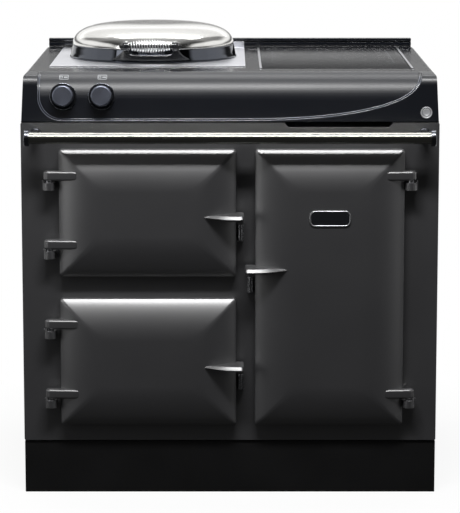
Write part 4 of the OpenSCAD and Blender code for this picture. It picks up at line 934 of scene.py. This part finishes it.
def build_coil(finishes):
    """The round wire of the grip, wound thicker at its middle"""
    turns, per_turn, sides, wire = 15, 28, 12, 1.25
    length, run = 94.0, 94.0 - 2 * 3.2
    end_wide, middle_wide = 18.5, 29
    count = turns * per_turn
    path = []
    for i in range(count + 1):
        t = 2 * i / count - 1
        r = (end_wide + (middle_wide - end_wide) * (1 - t * t)) / 2 - wire
        a = math.tau * i / per_turn
        path.append(Vector((-run / 2 + run * i / count, r * math.cos(a), r * math.sin(a))))
    path.insert(0, Vector((-length / 2, *path[0][1:])))
    path.append(Vector((length / 2, *path[-1][1:])))
    rings = []
    for i, p in enumerate(path):
        ahead = path[min(i + 1, len(path) - 1)] - path[max(i - 1, 0)]
        ahead.normalize()
        if i in (0, len(path) - 1):
            ahead = Vector((1, 0, 0))
        out = Vector((0, p[1], p[2])).normalized()
        out = (out - ahead * out.dot(ahead)).normalized()
        side = ahead.cross(out)
        ring = []
        for k in range(sides):
            a = math.tau * k / sides
            q = p + (out * math.cos(a) + side * math.sin(a)) * wire
            ring.append(at(LID_X + q[0], COIL_Y + q[1], COIL_Z + q[2]))
        rings.append(ring)
    bm = bmesh.new()
    skin(bm, rings)
    steel = finishes["coil_steel"]
    add_piece("grip_coil", bm, steel, "lid", ["lid_handle_coil"], 60, False)


# ---------------------------------------------------------------- ovens and inner pieces


def finish_inner_nodes(finishes):
    """The pieces inside keep their solid's mesh and get a finish"""
    plain = {
        "hotplate_pan": "galvanised", "induction_housing": "galvanised", "induction_coils": "copper_litz",
        "fan_frame": "black_plastic", "fan_rotor": "black_plastic", "energy_regulators": "cream_plastic",
        "hinge_pins": "machined_steel", "roasting_oven": "oven_enamel", "simmering_oven": "oven_enamel",
        "tall_oven": "oven_enamel_sheet", "oven_shelves": "polished_steel", "heating_rods": "heater_sheath",
        "insulation_jackets": "mineral_wool", "vent_duct": "galvanised", "lid_insulation": "mineral_wool",
    }
    for node, finish in plain.items():
        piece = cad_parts[node]
        piece.data.materials.clear()
        piece.data.materials.append(finishes[finish].material)


# ---------------------------------------------------------------- studio


# Name, place, aim, width, height and power of each lamp
LAMPS = (
    ("key_strip", (0, -1.82, 3.16), (0, -0.34, 0.6), 1.8, 0.34, 104.0),
    ("left_box", (-1.1, -1.4, 1.5), (-0.2, -0.3, 0.6), 0.6, 0.6, 1.2),
    ("left_strip", (-1.5, -1.2, 0.9), (0, -0.3, 0.6), 0.3, 1.3, 2.8),
    ("right_low", (1.6, -1.2, 0.4), (0.3, -0.3, 0.3), 0.3, 0.8, 0.45),
    ("overhead", (-0.3, 2.3, 3.0), (0, 0.2, 0.9), 4.6, 2.6, 26.0),
    ("top_strip", (0, 0.45, 2.5), (0, 0.0, 0.9), 1.9, 0.55, 18.0),
)
AMBIENT = 0.06


def build_floor():
    """Pale for the camera; mirrored it is pale behind the cooker and dim in front of it"""
    bm = bmesh.new()
    bmesh.ops.create_circle(bm, cap_ends=True, radius=FLOOR_SPREAD, segments=96)
    mesh = bpy.data.meshes.new("studio_floor")
    bm.to_mesh(mesh)
    bm.free()
    material = bpy.data.materials.new("studio_floor")
    material.use_nodes = True
    tree = material.node_tree
    base = tree.nodes["Principled BSDF"]
    seen, mirrored = light_masks(tree)
    base.inputs["Roughness"].default_value = 0.9
    base.inputs["Specular IOR Level"].default_value = 0.0
    spot = add_node(tree, "ShaderNodeTexCoord", out=3)
    forward = add_node(tree, "ShaderNodeSeparateXYZ", inputs={"Vector": spot}, out=1)
    behind = forward.step(0.0, 0.8)
    grey = add_node(tree, "ShaderNodeMix", {"data_type": "RGBA"}, {
        "Factor": seen.over(mirrored * behind), 6: (0.1, 0.1, 0.1, 1), 7: (0.9, 0.9, 0.9, 1)}, out=2)
    plug(tree, base.inputs["Base Color"], grey)
    strength = seen.over(mirrored * (behind * 0.985 + 0.015))
    glow = add_node(tree, "ShaderNodeEmission", inputs={"Color": (1, 1, 1, 1), "Strength": strength})
    reach = add_node(tree, "ShaderNodeVectorMath", {"operation": "LENGTH"}, {0: spot}, out=1)
    far = reach.step(0.5, 1.0) * 0.1 + 0.9
    mixed = add_node(tree, "ShaderNodeMixShader", inputs={
        0: far * seen.over(mirrored * 0.9), 1: Value(tree, base.outputs[0]), 2: glow})
    tree.links.new(mixed.socket, tree.nodes["Material Output"].inputs["Surface"])
    mesh.materials.append(material)
    floor = bpy.data.objects.new("studio_floor", mesh)
    scene.collection.objects.link(floor)


def build_world():
    """White for the camera; mirrored it is white behind the cooker up to the overhead lamp, dim in front,
    with a tall panel at each side and a bright ceiling"""
    world = bpy.data.worlds.new("studio")
    scene.world = world
    world.use_nodes = True
    tree = world.node_tree
    tree.nodes.clear()
    seen, mirrored = light_masks(tree)
    way = add_node(tree, "ShaderNodeTexCoord", out=0)
    across, forward, height = (
        add_node(tree, "ShaderNodeSeparateXYZ", inputs={"Vector": way}, out=i) for i in (0, 1, 2)
    )
    panels = abs(across).step(0.78, 0.84) * height.step(0.08, 0.14) * height.step(0.56, 0.46)
    behind = forward.step(-0.1, 0.12)
    low = height.step(0.05, 0.03)
    high = height.step(0.11, 0.18) * (1 - height.step(0.3, 0.45) * 0.85)
    top = height.step(0.45, 1.0)
    shown = (behind * (0.06 + low * 0.94 + high * 0.94) + top * top * 0.4 + panels * 0.9 + 0.008).under(1.0)
    strength = seen.over(mirrored * shown).over((1 - seen.over(mirrored)) * AMBIENT)
    light = add_node(tree, "ShaderNodeBackground", inputs={"Color": (1, 1, 1, 1), "Strength": strength})
    end = tree.nodes.new("ShaderNodeOutputWorld")
    tree.links.new(light.socket, end.inputs["Surface"])


place_camera()
scene.view_settings.view_transform = "Standard"
finishes = make_finishes()
build_floor()
build_world()
for lamp in LAMPS:
    softbox(*lamp)
build_shell(finishes)
build_front_fittings(finishes)
build_doors(finishes)
build_badge(finishes)
build_controls(finishes)
build_panel_bead(finishes)
build_lid(finishes)
finish_inner_nodes(finishes)
